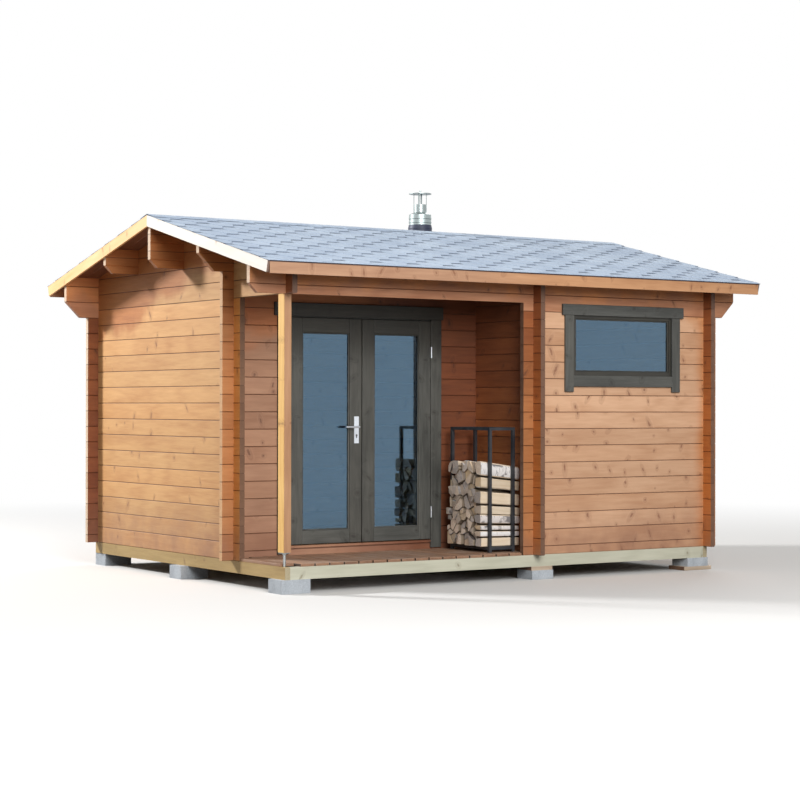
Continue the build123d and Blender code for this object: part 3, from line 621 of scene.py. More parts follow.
def concreteMaterial():
    material, tree = freshMaterial("concrete")
    grain = useGroup(speckle, tree, {"Vector": place(tree, "TexCoord")["Object"], **concreteValues})
    return finishMaterial(material, grain["Color"], 0.9, grain["Height"], 0.6, 0.002)


# painted reflection: the blue tints and the raised IOR stand in for a bright reflected sky
glassValues = {
    "colour": shade(176, 200, 214), "Specular Tint": shade(176, 216, 250), "roughness": 0.02,
    "Transmission Weight": 1.0, "IOR": 2.25,  # two coated sheets reflect more than one plain sheet
}


def setMaterial(material, *names):
    for name in names:
        mesh = nodes[name].data
        mesh.materials.clear()
        mesh.materials.append(material)


# Log walls. Heights and places in metres: the shade-and-shelter range along the wall, eaves and top in
# height, and corner the places beyond which the log ends stand out; the looks beyond them paint shade, partly
# with a less bleached stain, and on the top of the porch wall they paint light
logPlain = {
    "look": "front", "kept": "frontKept", "sideKept": "frontKept", "ends": "log", "alongY": 0.0, "shift": 0.5,
    "knots": 0.3, "shadeAndShelter": (9.0, 9.5), "eaves": (2.14, 2.34), "corner": (-9.0, 9.0), "cornerReach": 0.5,
    "cornerLook": "cornerFront", "cornerTop": "cornerHigh", "lean": 0.0, "top": 9.0,
}
# eaves and lean place the painted shadow of the roof on the gables
gablePlain = {
    "look": "gable", "kept": "gableKept", "alongY": 1.0, "shift": 0.0, "knots": 0.16, "eaves": (2.32, 2.5),
    "lean": 0.30, "cornerLook": "cornerSide",
}
logKinds = {
    "frontLogs": {"nodes": ("wall_front_sides", "wall_front_below"), "stack": 3.0, "knots": 0.4,
                  "shadeAndShelter": (1.95, 2.12), "corner": (0.22, 9.0)},
    "eavesLogs": {"nodes": ("eaves_logs",), "stack": 23.0, "look": "eaves", "kept": "eavesKept",
                  "eaves": (2.28, 2.42), "ends": "palePurlin"},
    "backLogs": {"nodes": ("wall_back",), "stack": 41.0, "ends": "palePurlin", "corner": (-2.12, 9.0),
                 "cornerLook": "cornerBack"},
    "leftLogs": {**gablePlain, "nodes": ("wall_left",), "stack": 77.0, "corner": (-0.862, 9.0),
                 "cornerReach": 0.2, "cornerLook": "cornerLeft", "cornerTop": "cornerLeft"},
    "rightLogs": {**gablePlain, "nodes": ("wall_right",), "stack": 113.0, "knots": 0.3,
                  "corner": (-1.662, 9.0)},
    "peakLogs": {**gablePlain, "nodes": ("gable_peaks",), "stack": 151.0, "corner": (-1.662, 1.75)},
    "porchLogs": {"nodes": ("porch_wall_sides", "porch_wall_top", "door_sill"), "stack": 187.0,
                  "look": "porchBleached", "kept": "porchHigh", "sideKept": "porch", "shadeAndShelter": (-1.3, -0.5),
                  "eaves": (1.86, 2.10), "corner": (-2.12, 9.0), "cornerTop": "cornerFront",
                  "ends": "paleStub"},
    "sideLogs": {"nodes": ("porch_side_wall",), "look": "side", "kept": "porchSide", "alongY": 1.0,
                 "shift": 0.0, "stack": 223.0, "eaves": (0.8, 1.9), "top": 2.05, "corner": (-1.662, 9.0),
                 "cornerLook": "cornerSide"},
    "purlinLogs": {"nodes": ("purlins",), "look": "purlin", "kept": "purlin", "shift": 0.0, "stack": 263.0,
                   "knots": 0.2, "ends": "palePurlin"},
}
for name, values in logKinds.items():
    setMaterial(logMaterial(name, {**logPlain, **values}), *values["nodes"])

roofPitch = math.atan(0.246)
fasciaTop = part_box("eaves_fascias")[1].z
# painted highlight: the rake boards turn nearly white on the front slope
setMaterial(nodeWood("rakeWood", "rake", (1, 2, 0), seed=5.0, lean=roofPitch,
                     worn=((1, 0.01, -0.01, "rakeWorn"),)), "rake_boards")
# painted shadow: a dark line along the top of the fascia, under the drip edge
setMaterial(nodeWood("fasciaWood", "fascia", (0, 2, 1), knots=0.6, seed=9.0, worn=(
    (0, 0.4, -0.9, "fasciaWorn"), (2, fasciaTop - 0.011, fasciaTop - 0.005, "dripLine"))), "eaves_fascias")
# painted light: the side faces of the post take a sunlit colour
setMaterial(nodeWood("postWood", "post", (2, 0, 1), seed=12.0, sides="postSide"), "porch_post")
# painted shade on the side faces of the bearers
setMaterial(nodeWood("bearerWood", "bearer", (0, 2, 1), knots=0.15, seed=15.0, sides="bearerSide"), "bearers")
setMaterial(nodeWood("joistWood", "bearerSide", (1, 2, 0), "bearer", knots=0.15, seed=18.0), "joists")
setMaterial(nodeWood("packingWood", "plank", (0, 1, 2), seed=21.0), "packing_planks")
setMaterial(concreteMaterial(), "foundation_blocks")
setMaterial(metalMaterial("handleSteel", (232, 237, 244), (0.22, 0.34)), "handle_plates", "lever_handle")
setMaterial(metalMaterial("hingeSteel", (206, 210, 214), (0.26, 0.4)),
            "hinge_pins", "left_knuckles", "right_knuckles")
setMaterial(metalMaterial("zincSteel", (160, 164, 164), (0.35, 0.55)), "post_foot")
flueFinish = {"rough": (0.28, 0.42), "stretch": (300.0, 300.0, 12.0)}
setMaterial(metalMaterial("flueBodySteel", (166, 177, 176), seams=(3.063, 3.098), **flueFinish), "flue_pipe")
setMaterial(metalMaterial("flueSteel", (160, 170, 169), **flueFinish), "flue_top")
setMaterial(metalMaterial("flashingMetal", (44, 50, 70), (0.4, 0.6), metallic=0.2), "flue_flashing")
setMaterial(metalMaterial("rackPaint", (30, 32, 38), (0.38, 0.5), metallic=0.0, bump=0.15),
            "rack_posts", "rack_rails")
setMaterial(finishMaterial(freshMaterial("windowGlass")[0], **glassValues),
            "pane_left", "pane_right", "window_pane")

easedEdges = {  # width of the bevel in metres, and the CAD parts that have it
    0.0015: ("wall_front_sides", "wall_front_below", "eaves_logs", "wall_back", "wall_left", "wall_right",
             "gable_peaks", "porch_wall_sides", "porch_wall_top", "porch_side_wall", "purlins"),
    0.002: ("rake_boards", "eaves_fascias", "bearers", "joists", "packing_planks", "rack_posts",
            "door_frame"),
    0.004: ("foundation_blocks",),
    0.001: ("rack_rails", "handle_plates"),
    0.0008: ("post_foot",),
}
for width, names in easedEdges.items():
    for name in names:
        eased = nodes[name].modifiers.new("easedEdges", "BEVEL")
        eased.width, eased.segments = width, 2
        eased.limit_method, eased.angle_limit = "ANGLE", math.radians(28)
print("materials made")


# Mesh tools
def meshObject(name, bm, materials):
    mesh = bpy.data.meshes.new(name)
    bm.normal_update()
    bm.to_mesh(mesh)
    bm.free()
    for material in materials:
        mesh.materials.append(material)
    return addObject(name, mesh)


def newPiece(name, bm, materials, body):
    piece = meshObject(name, bm, materials)
    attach(piece, body)
    return piece


def evenNormals(bm):
    bmesh.ops.recalc_face_normals(bm, faces=bm.faces[:])


def startMesh():
    bm = bmesh.new()
    bm.verts.layers.float_vector.new("grainPlace")
    for name in ("grainSeed", "grainGap"):
        bm.verts.layers.float.new(name)
    return bm


# A run of numbers, each different, for the grain of one piece's boards
def seeds(start):
    number = start
    while True:
        yield number
        number += 1.73


def markVert(bm, vert, spot, seed, hidden=0.0):
    layers = bm.verts.layers
    vert[layers.float_vector["grainPlace"]] = spot
    vert[layers.float["grainSeed"]] = seed
    vert[layers.float["grainGap"]] = hidden


def addVert(bm, spot, *grain):
    vert = bm.verts.new(spot)
    markVert(bm, vert, *grain)
    return vert


# along is the index of the axis that the grain follows
def markGrain(bm, verts, along, seed):
    others = [axis for axis in range(3) if axis != along]
    size = [max(v.co[axis] for v in verts) - min(v.co[axis] for v in verts) for axis in others]
    wide, thin = others if size[0] >= size[1] else others[::-1]
    for vert in verts:
        markVert(bm, vert, (vert.co[along], vert.co[wide], vert.co[thin]), seed)


# A board with eased edges, whose end faces take the second material
def addBoard(bm, low, high, along, grain, edge=0.002, segments=2):
    corners = [bm.verts.new((x, y, z)) for z in (low[2], high[2]) for y in (low[1], high[1])
               for x in (low[0], high[0])]
    order = ((0, 2, 3, 1), (4, 5, 7, 6), (0, 1, 5, 4), (2, 6, 7, 3), (0, 4, 6, 2), (1, 3, 7, 5))
    faces = [bm.faces.new([corners[i] for i in quad]) for quad in order]
    middle = (Vector(low) + Vector(high)) / 2
    for face in faces:
        away = face.calc_center_median() - middle
        if abs(away[along]) > 1e-6:
            face.material_index = 1
    edges = list({e for face in faces for e in face.edges})
    made = bmesh.ops.bevel(bm, geom=edges, offset=edge, segments=segments, affect="EDGES", profile=0.5,
                           material=0, clamp_overlap=True)
    verts = list({v for face in made["faces"] for v in face.verts})
    markGrain(bm, verts, along, next(grain))
    return verts


# Porch deck, boards laid front to back, with notches in from the outer edges of the deck
deckValues = {
    "pitch": 0.131, "gap": 0.012, "firstJoint": -0.022, "narrowest": 0.02, "edge": 0.003,
    "leftNotch": (0.044, 0.1), "footNotch": (0.052, 0.086), "rightNotch": (0.1, 0.044),
    "dirt": (38, 26, 20), "dirtStrength": 0.9,
    "screwRows": (-1.635, -1.26, -0.885), "screwInset": 0.025, "screwLift": -0.0006, "screwBoard": 0.08,
    "screw": {"segments": 12, "radius1": 0.0035, "radius2": 0.0035 * 0.85, "depth": 0.002},
}


def buildDeck():
    values = deckValues
    low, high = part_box("porch_deck")
    bm, grain = startMesh(), seeds(300.0)
    pitch, gap, joint = values["pitch"], values["gap"], values["firstJoint"]
    while joint > low.x + pitch / 2:
        joint -= pitch
    edges = [low.x]
    while joint < high.x - values["narrowest"]:
        if joint > low.x + values["narrowest"]:
            edges.append(joint)
        joint += pitch
    edges.append(high.x)
    screws = []
    for start, end in zip(edges, edges[1:]):
        x1, x2 = max(start + gap / 2, low.x), min(end - gap / 2, high.x)
        front, back = low.y, high.y
        if x1 < low.x + values["leftNotch"][0]:
            back = high.y - values["leftNotch"][1]
        if x1 < low.x + values["footNotch"][0]:
            front = low.y + values["footNotch"][1]
        if x2 > high.x - values["rightNotch"][0]:
            front = low.y + values["rightNotch"][1]
        verts = addBoard(bm, (x1, front, low.z), (x2, back, high.z), 1, grain, values["edge"])
        for vert in verts:  # darker sides of the boards
            beside = min(vert.co.x - x1, x2 - vert.co.x) < 0.0005 and low.x + 0.01 < vert.co.x
            vert[bm.verts.layers.float["grainGap"]] = values["dirtStrength"] if beside else 0.0
        for y in values["screwRows"]:
            if front + 0.01 < y < back - 0.01 and x2 - x1 > values["screwBoard"]:
                screws += [(x1 + values["screwInset"], y), (x2 - values["screwInset"], y)]
    deckWood = boardMaterial("deckWood", "deck", worn=0.6, strength=0.8, gaps=values["dirt"])
    deck = newPiece("deckBoards", bm, [deckWood, endMaterial("deckEnds", "deck")], "cabin")
    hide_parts("porch_deck")
    bm = bmesh.new()
    for x, y in screws:
        spot = Matrix.Translation((x, y, high.z + values["screwLift"]))
        bmesh.ops.create_cone(bm, cap_ends=True, matrix=spot, **values["screw"])
    screwSteel = metalMaterial("screwSteel", (120, 116, 110), (0.4, 0.6))
    newPiece("deckScrews", bm, [screwSteel], "cabin")


buildDeck()
print("deck laid")


# Room floor, boards laid along the cabin and round the porch
floorValues = {"pitch": 0.096, "gap": 0.001, "edge": 0.0012, "narrowest": 0.005}


def buildFloor():
    values = floorValues
    low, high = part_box("floor_boards")
    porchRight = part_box("porch_side_wall")[1].x
    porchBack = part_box("porch_wall_sides")[1].y
    bm, grain = startMesh(), seeds(520.0)
    y = low.y
    while y < high.y - values["narrowest"]:
        end = min(y + values["pitch"], high.y)
        back = end - values["gap"]
        runs = [(low.x if y > porchBack - 0.001 else porchRight, y, high.x)]
        if y < porchBack - 0.001 < end:
            runs.insert(0, (low.x, porchBack, porchRight))
        for left, front, right in runs:
            addBoard(bm, (left, front, low.z), (right, back, high.z), 0, grain, values["edge"], 1)
        y = end
    woods = [boardMaterial("floorWood", "floor"), endMaterial("floorEnds", "floor")]
    floor = newPiece("floorPlanks", bm, woods, "cabin")
    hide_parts("floor_boards")


buildFloor()
print("floor laid")


# Roof: all pieces are laid out on the slope and then put in place
roofValues = {
    "ridge": 2.93736, "boards": 0.018, "top": 0.027, "length": 2.432, "boardPitch": 0.0965,
    "boardGap": 0.0008, "boardEnd": 2.004, "ridgeGap": 0.001, "edge": 0.0022, "flue": (0.43, 0.29, 2.9),
    "flueHole": 0.104, "flueClear": 0.01,
}
shingleValues = {
    "tab": 0.3375, "exposure": 0.1316, "foot": 0.088, "shoulder": 0.2453, "sheet": 0.0025, "layer": 0.0029,
    "slot": 0.0012, "head": 0.281, "end": 2.0285, "firstFoot": 0.0254, "phase": -1.9335, "reach": 2.4495,
    "starter": (1.0, 0.15), "starterGap": 0.001, "narrowest": 0.02, "wave": 0.0003, "nearFlue": (0.15, 0.75),
    "capWidth": 0.121, "capPitch": 0.131, "capLap": 0.02, "capSheet": 0.0025, "capRise": 0.0017,
    "capDrop": 0.0013, "underCap": 0.05, "headGap": 0.006, "seed": 11,
}
shingleSlope = shingleValues["layer"] / shingleValues["exposure"]
granules = {
    "First": shade(196, 210, 226), "Second": shade(159, 175, 196), "Size": 420.0, "Cloud": 2.5,
    "tone": (148, 164, 188), "toneStrength": 0.25, "band": (40, 50, 80), "bandWidth": 0.029,
    "bandStrength": 0.97, "worn": (96, 108, 128), "wornStrength": 0.25,
}


# A point at a distance down the slope from the ridge, lifted off the underside of the boards
def onSlope(side, x, down, lift):
    y = down * math.cos(roofPitch) + lift * math.sin(roofPitch)
    z = roofValues["ridge"] - down * math.sin(roofPitch) + lift * math.cos(roofPitch)
    return Vector((x, side * y, z))


# Cuts the hole for the flue through one piece
def cutFlue(piece):
    bm = bmesh.new()
    radius = roofValues["flueHole"]
    bmesh.ops.create_cone(bm, cap_ends=True, segments=48, radius1=radius, radius2=radius, depth=0.6,
                          matrix=Matrix.Translation(roofValues["flue"]))
    cutter = meshObject("flueCutter", bm, ())
    made = piece.modifiers.new("hole", "BOOLEAN")
    made.operation, made.solver, made.use_self, made.object = "DIFFERENCE", "EXACT", True, cutter
    bpy.context.view_layer.update()
    cut = bpy.data.meshes.new_from_object(piece.evaluated_get(bpy.context.evaluated_depsgraph_get()))
    piece.modifiers.clear()
    piece.data = cut
    bpy.data.objects.remove(cutter)


def nearFlue(side, x1, x2):
    x, reach = roofValues["flue"][0], roofValues["flueHole"] + roofValues["flueClear"]
    return side > 0 and x1 < x + reach and x2 > x - reach


def buildRoofBoards():
    values = roofValues
    woods = [boardMaterial("roofWood", "roof"), endMaterial("roofEnds", "roof")]
    grain = seeds(700.0)
    bm, cutBm = startMesh(), startMesh()
    x = -values["length"]
    while x < values["length"] - 0.01:
        end = min(x + values["boardPitch"], values["length"])
        for side in (-1, 1):
            target = cutBm if nearFlue(side, x, end) else bm
            far = (end - values["boardGap"], values["boardEnd"], values["boards"])
            verts = addBoard(target, (x, values["ridgeGap"], 0), far, 1, grain, values["edge"], 1)
            for vert in verts:
                vert.co = onSlope(side, *vert.co)
            if side > 0:
                bmesh.ops.reverse_faces(target, faces=list({f for v in verts for f in v.link_faces}))
        x = end
    boards = newPiece("roofPlanks", bm, woods, "cabin")
    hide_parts("roof_boards")
    cutFlue(newPiece("roofPlanksAtFlue", cutBm, woods, "cabin"))


buildRoofBoards()
print("roof boards laid")


def shingleMaterial():
    material, tree = freshMaterial("shingle")
    spot, seed = grainOf(tree)
    up = parted(spot)[1]
    coords = place(tree, "TexCoord")["Object"]
    sockets = {key: granules[key] for key in ("First", "Second", "Size", "Cloud")}
    grain = useGroup(speckle, tree, {"Vector": coords, **sockets})
    toned = between(chances(seed)["Value"], 0.0, granules["toneStrength"])
    colour = mix(toned, grain["Color"], shade(*granules["tone"]))
    # a band of dark granules that shows only at the tops of the gaps between the tabs above
    ragged = spread(noise(coords, 90), -0.003, 0.003)
    bandLow = 2 * shingleValues["exposure"] - granules["bandWidth"]
    band = fade(up + ragged, bandLow - 0.003, bandLow + 0.003)
    colour = mix(band * granules["bandStrength"], colour, shade(*granules["band"]))
    # darker lower edges of the tabs
    colour = mix(remap(up, 0.004, 0.0, 0, granules["wornStrength"]), colour, shade(*granules["worn"]))
    return finishMaterial(material, colour, 0.9, grain["Height"], 0.5, 0.0012)


# A thin flat piece on the slope: outline is a loop of (x, down), lifts its top heights
def addSlab(bm, outline, lifts, side, spots, seed):
    top, bottom = ([addVert(bm, onSlope(side, x, down, lift - drop), (spot[0], spot[1], -drop), seed)
                    for (x, down), lift, spot in zip(outline, lifts, spots)]
                   for drop in (0, shingleValues["sheet"]))
    bm.faces.new(top)
    bm.faces.new(bottom[::-1])
    for index in range(len(top)):
        after = (index + 1) % len(top)
        bm.faces.new((top[index], bottom[index], bottom[after], top[after]))


# Keeps the part of a polygon on the near side of a line
def clipPolygon(points, spot, normal):
    kept = []
    for index, current in enumerate(points):
        previous = points[index - 1]
        now = (current - spot).dot(normal)
        before = (previous - spot).dot(normal)
        if (now <= 0) != (before <= 0):
            kept.append(previous + (current - previous) * (before / (before - now)))
        if now <= 0:
            kept.append(current)
    return kept


# Corners of one tab as (across, up): a narrow foot, leaning sides, then the full width
def tabOutline(left, right):
    values = shingleValues
    foot, shoulder, half = values["foot"] / 2, values["shoulder"] / 2, values["tab"] / 2
    low, high = values["exposure"] - values["slot"], values["head"]
    points = [Vector(corner) for corner in (
        (-foot, 0), (foot, 0), (shoulder, low), (half, low), (half, high), (-half, high), (-half, low),
        (-shoulder, low))]
    if left > -half:
        points = clipPolygon(points, Vector((left, 0)), Vector((-1, 0)))
    if right < half:
        points = clipPolygon(points, Vector((right, 0)), Vector((1, 0)))
    return points


# Two plain strips under the first course
def addStarters(bm, side, grain):
    values = shingleValues
    length, width = values["starter"]
    for number in (1, 2):
        low = number * values["exposure"] - values["firstFoot"]
        x = -values["reach"]
        while x < values["reach"] - 0.01:
            end = min(x + length, values["reach"])
            right = end - values["starterGap"] if end < values["reach"] else end
            corners = ((x, 0), (right, 0), (right, width), (x, width))
            addSlab(bm, [(across, values["end"] - up) for across, up in corners],
                    [roofValues["top"] - shingleSlope * (low + up) for across, up in corners],
                    side, [(0, low + up) for across, up in corners], next(grain))
            x = end


# One folded piece of the ridge, which laps the next
def addCap(bm, x, end, seed):
    values, rows = shingleValues, []
    for across, rise in ((x, values["capRise"]), (end, values["capRise"] - values["capDrop"])):
        for drop in (0, values["capSheet"] / 2):
            lift = roofValues["top"] + rise - drop
            points = [onSlope(side, across, values["capWidth"], lift) for side in (-1, 1)]
            points.insert(1, Vector((across, 0, roofValues["ridge"] + lift / math.cos(roofPitch))))
            rows.append([addVert(bm, point, (0.5, 0.06, -drop), seed) for point in points])
    t1, b1, t2, b2 = rows
    for i, j in ((0, 1), (1, 2)):
        for face in ((t1[i], t1[j], t2[j], t2[i]), (b1[i], b2[i], b2[j], b1[j]),
                     (t1[i], b1[i], b1[j], t1[j]), (t2[i], t2[j], b2[j], b2[i])):
            bm.faces.new(face)
    bm.faces.new((t1[0], t2[0], b2[0], b1[0]))
    bm.faces.new((t1[2], b1[2], b2[2], t2[2]))


def buildShingles():
    values = shingleValues
    material = shingleMaterial()
    bm, cutBm = startMesh(), startMesh()
    chance, grain = random.Random(values["seed"]), seeds(900.0)
    reach, tab = values["reach"], values["tab"]
    for side in (-1, 1):
        addStarters(bm, side, grain)
        course = 0
        while True:
            foot = values["end"] - values["firstFoot"] - course * values["exposure"]
            if foot < values["capWidth"] - values["underCap"]:
                break
            highest = min(values["head"], foot - values["headGap"])
            nearRow = values["nearFlue"][0] < foot < values["nearFlue"][1]
            middle = values["phase"] - course * tab / 2
            middle += tab * math.floor((-reach - middle) / tab)
            while middle - tab / 2 < reach:
                left, right = max(-reach - middle, -tab / 2), min(reach - middle, tab / 2)
                points = tabOutline(left, right) if right - left > values["narrowest"] else []
                if points and highest < values["head"]:
                    points = clipPolygon(points, Vector((0, highest)), Vector((0, 1)))
                if len(points) > 2:
                    lift = roofValues["top"] - chance.uniform(0, values["wave"])
                    target = cutBm if nearRow and nearFlue(side, middle - tab / 2, middle + tab / 2) else bm
                    addSlab(target, [(middle + p.x, foot - p.y) for p in points],
                            [lift - shingleSlope * p.y for p in points], side, points, next(grain))
                middle += tab
            course += 1
    for target in (bm, cutBm):
        evenNormals(target)
    shingles = newPiece("shingles", bm, [material], "cabin")
    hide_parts("roof_covering")
    cutFlue(newPiece("shinglesAtFlue", cutBm, [material], "cabin"))
    bm = startMesh()
    x = -reach
    while x < reach - values["capLap"]:
        addCap(bm, x, min(x + values["capPitch"] + values["capLap"], reach), next(grain))
        x += values["capPitch"]
    evenNormals(bm)
    ridge = newPiece("ridgeShingles", bm, [material], "cabin")
    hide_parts("ridge_cap")


buildShingles()
print("roof covered")


# Split firewood: a front row of single pieces, and the rest packed in behind it
woodValues = {
    "columns": 4, "rows": 7, "gap": 0.0022, "jitter": 0.30, "frontSlide": 0.012, "slideOut": 0.045,
    "slices": 5, "fall": 0.14, "twist": 0.02, "swell": 0.03, "barked": 0.6, "rim": 0.006, "bulge": 0.11,
    "frontDepth": 0.100, "frontSpread": 0.006, "ragged": 0.028, "corner": 0.06, "cuts": (1, 1, 2),
    # hidden is the painted shade on the faces inside the stack, skin the depth at the front and top that has
    # none
    "cutSpread": 0.008, "cutTurn": 0.4, "shortest": 0.006, "smallest": 0.0008, "skin": 0.03, "hidden": 0.7,
    "dirt": (58, 44, 34), "seed": 8,
}
sideSteps = {True: (0.08, 0.30, 0.50, 0.70, 0.92), False: (0.08, 0.92)}  # with and without bark
frontPieces = (  # lower and upper edge in shares of the stack's height, and whether bark shows in front
    (0.000, 0.106, False), (0.120, 0.184, True), (0.198, 0.252, True), (0.275, 0.378, True),
    (0.384, 0.485, False), (0.505, 0.650, False), (0.698, 0.815, False), (0.835, 1.000, True),
)
# Their corners with and without bark: 0 for the front or 1 for the back, metres from it, share of the height
frontCorners = {
    True: ((0, 0, 1), (0, 0, 0), (1, -0.03, 0.1), (1, -0.008, 0.7), (1, -0.03, 0.96)),
    False: ((0, 0, 1), (0, 0.004, 0), (1, -0.014, 0.06), (1, -0.022, 0.88)),
}
barkValues = {"pale": (240, 238, 236), "dull": (216, 206, 200), "dark": (92, 88, 90)}
splitEndValues = {"spacing": 900.0, "grey": (166, 164, 168), "yellow": (240, 206, 150), "tone": (0.66, 1.24)}


def polygonMiddle(points):
    return sum(points, Vector((0, 0))) / len(points)


def polygonArea(points):
    return 0.5 * abs(sum(points[i - 1].x * p.y - p.x * points[i - 1].y for i, p in enumerate(points)))


# Takes the corners off and bulges the barked sides, with a flag for each side
def easeCorners(points, barkSides):
    made, flags, middle = [], [], polygonMiddle(points)
    for index, current in enumerate(points):
        after = points[(index + 1) % len(points)]
        barked = index in barkSides
        outward = Vector((after.y - current.y, current.x - after.x)).normalized()
        if outward.dot((current + after) / 2 - middle) < 0:
            outward = -outward
        bulge = outward * woodValues["bulge"] * (after - current).length * 4
        for part in sideSteps[barked]:
            made.append(current.lerp(after, part) + (bulge * part * (1 - part) if barked else Vector((0, 0))))
            flags.append(barked and part != sideSteps[barked][-1])
    return made, flags


# Cross-sections of the pieces in front, as points (y, z), flags of the barked sides and the middle
def frontRow(low, high, chance):
    pieces = []
    back = low.y + woodValues["frontDepth"]
    for bottom, top, barked in frontPieces:
        z1, tall = low.z + (high.z - low.z) * bottom, (high.z - low.z) * (top - bottom)
        front = low.y + chance.uniform(0.0, woodValues["frontSpread"])
        if barked:  # the bulge of the bark reaches the front
            front += woodValues["bulge"] * tall
            barkSides = {0}
        else:
            barkSides = {1} if chance.random() < woodValues["barked"] else {2}
        points = [Vector(((front, back)[far] + inset, z1 + share * tall))
                  for far, inset, share in frontCorners[barked]]
        made, flags = easeCorners(points, barkSides)
        inside = [Vector((max(p.x, low.y), min(max(p.y, low.z), high.z))) for p in made]
        pieces.append((inside, flags, polygonMiddle(made)))
    return pieces


# The space behind the front row in cells, each split once or twice, with the same three things for a piece
def packedPieces(low, high, chance):
    values = woodValues
    left = low.y + values["frontDepth"]
    stepY = (high.y - left) / values["columns"]
    stepZ = (high.z - low.z) / values["rows"]
    hearts = []
    for row in range(values["rows"]):
        shift = (row % 2) * 0.5
        for column in range(values["columns"] + row % 2):
            hearts.append(Vector((
                left + (column + 0.5 - shift + chance.uniform(-1, 1) * values["jitter"]) * stepY,
                low.z + (row + 0.5 + chance.uniform(-1, 1) * values["jitter"]) * stepZ)))
    corners = [Vector(corner) for corner in (
        (left, low.z), (high.y, low.z), (high.y, high.z - values["corner"]),
        (high.y - values["corner"], high.z), (left, high.z))]
    pieces = []
    for heart in hearts:
        cell = corners[:]
        for other in hearts:
            if other is not heart:
                cell = clipPolygon(cell, (heart + other) / 2, (other - heart).normalized())
        if len(cell) > 2 and max(p.x for p in cell) > high.y - 0.01:
            edge = Vector((high.y - chance.uniform(0, values["ragged"]), 0))
            cell = clipPolygon(cell, edge, Vector((1, 0)))
        if len(cell) < 3:
            continue
        parts = [cell]
        turn = chance.uniform(0, math.pi)
        for cut in range(chance.choice(values["cuts"])):
            normal = Vector((math.cos(turn), math.sin(turn)))
            moved = Vector((chance.uniform(-1, 1), chance.uniform(-1, 1))) * values["cutSpread"]
            middle = polygonMiddle(parts[0]) + moved
            halves = [clipPolygon(parts[0], middle, normal), clipPolygon(parts[0], middle, -normal)]
            parts = [part for part in halves + parts[1:] if len(part) > 2]
            parts.sort(key=polygonArea, reverse=True)
            turn += math.pi / 2 + chance.uniform(-values["cutTurn"], values["cutTurn"])
        for part in parts:
            part = [p for i, p in enumerate(part) if (p - part[i - 1]).length > values["shortest"]]
            if len(part) < 3 or polygonArea(part) < values["smallest"]:
                continue
            middle, reach = polygonMiddle(part), math.sqrt(polygonArea(part))
            part = [middle + (p - middle) * (1 - 2 * values["gap"] / reach) for p in part]
            lengths = [(part[(i + 1) % len(part)] - p).length for i, p in enumerate(part)]
            barkSides = set()
            if chance.random() < values["barked"]:
                longest = max(lengths)
                barkSides = {lengths.index(longest)}
                bulged = values["bulge"] * longest
                part = [middle + (p - middle) * (1 - 0.5 * bulged / reach) for p in part]
            pieces.append((*easeCorners(part, barkSides), middle))
    return pieces


def barkMaterial():
    material, tree = freshMaterial("birchBark")
    spot, seed = grainOf(tree)
    u, v, w = parted(spot)
    dashes = remap(noise(joined(u * 120.0 + seed * 7.0, v * 22.0, w * 22.0)), 0.60, 0.66)
    patches = remap(noise(joined(u + seed, v, w), 11.0, 3), 0.54, 0.62)
    skin = mix(chances(seed)["Value"], shade(*barkValues["pale"]), shade(*barkValues["dull"]))
    colour = mix((dashes * 0.7).maths("MAXIMUM", patches * 0.85), skin, shade(*barkValues["dark"]))
    # painted shade on hidden bark in the gaps
    return finishMaterial(material, darkenGaps(tree, colour, woodValues["dirt"]), 0.7, patches, 0.4, 0.001)


def splitEndMaterial():
    values = splitEndValues
    material, tree = freshMaterial("splitEnds")
    spot, seed = grainOf(tree)
    greyChance, yellowChance, toneChance = parted(chances(seed)["Color"])
    ends = paintEnds(tree, "split", spot, seed, values["spacing"])
    colour = mix(remap(greyChance, 0.55, 0.75, 0, 0.6), ends["Color"], shade(*values["grey"]))
    colour = mix(remap(yellowChance, 0.75, 0.85, 0, 0.55), colour, shade(*values["yellow"]))
    colour = scaled(colour, between(toneChance, *values["tone"]))
    return finishMaterial(material, colour, 0.8, ends["Height"], 0.6, 0.001)


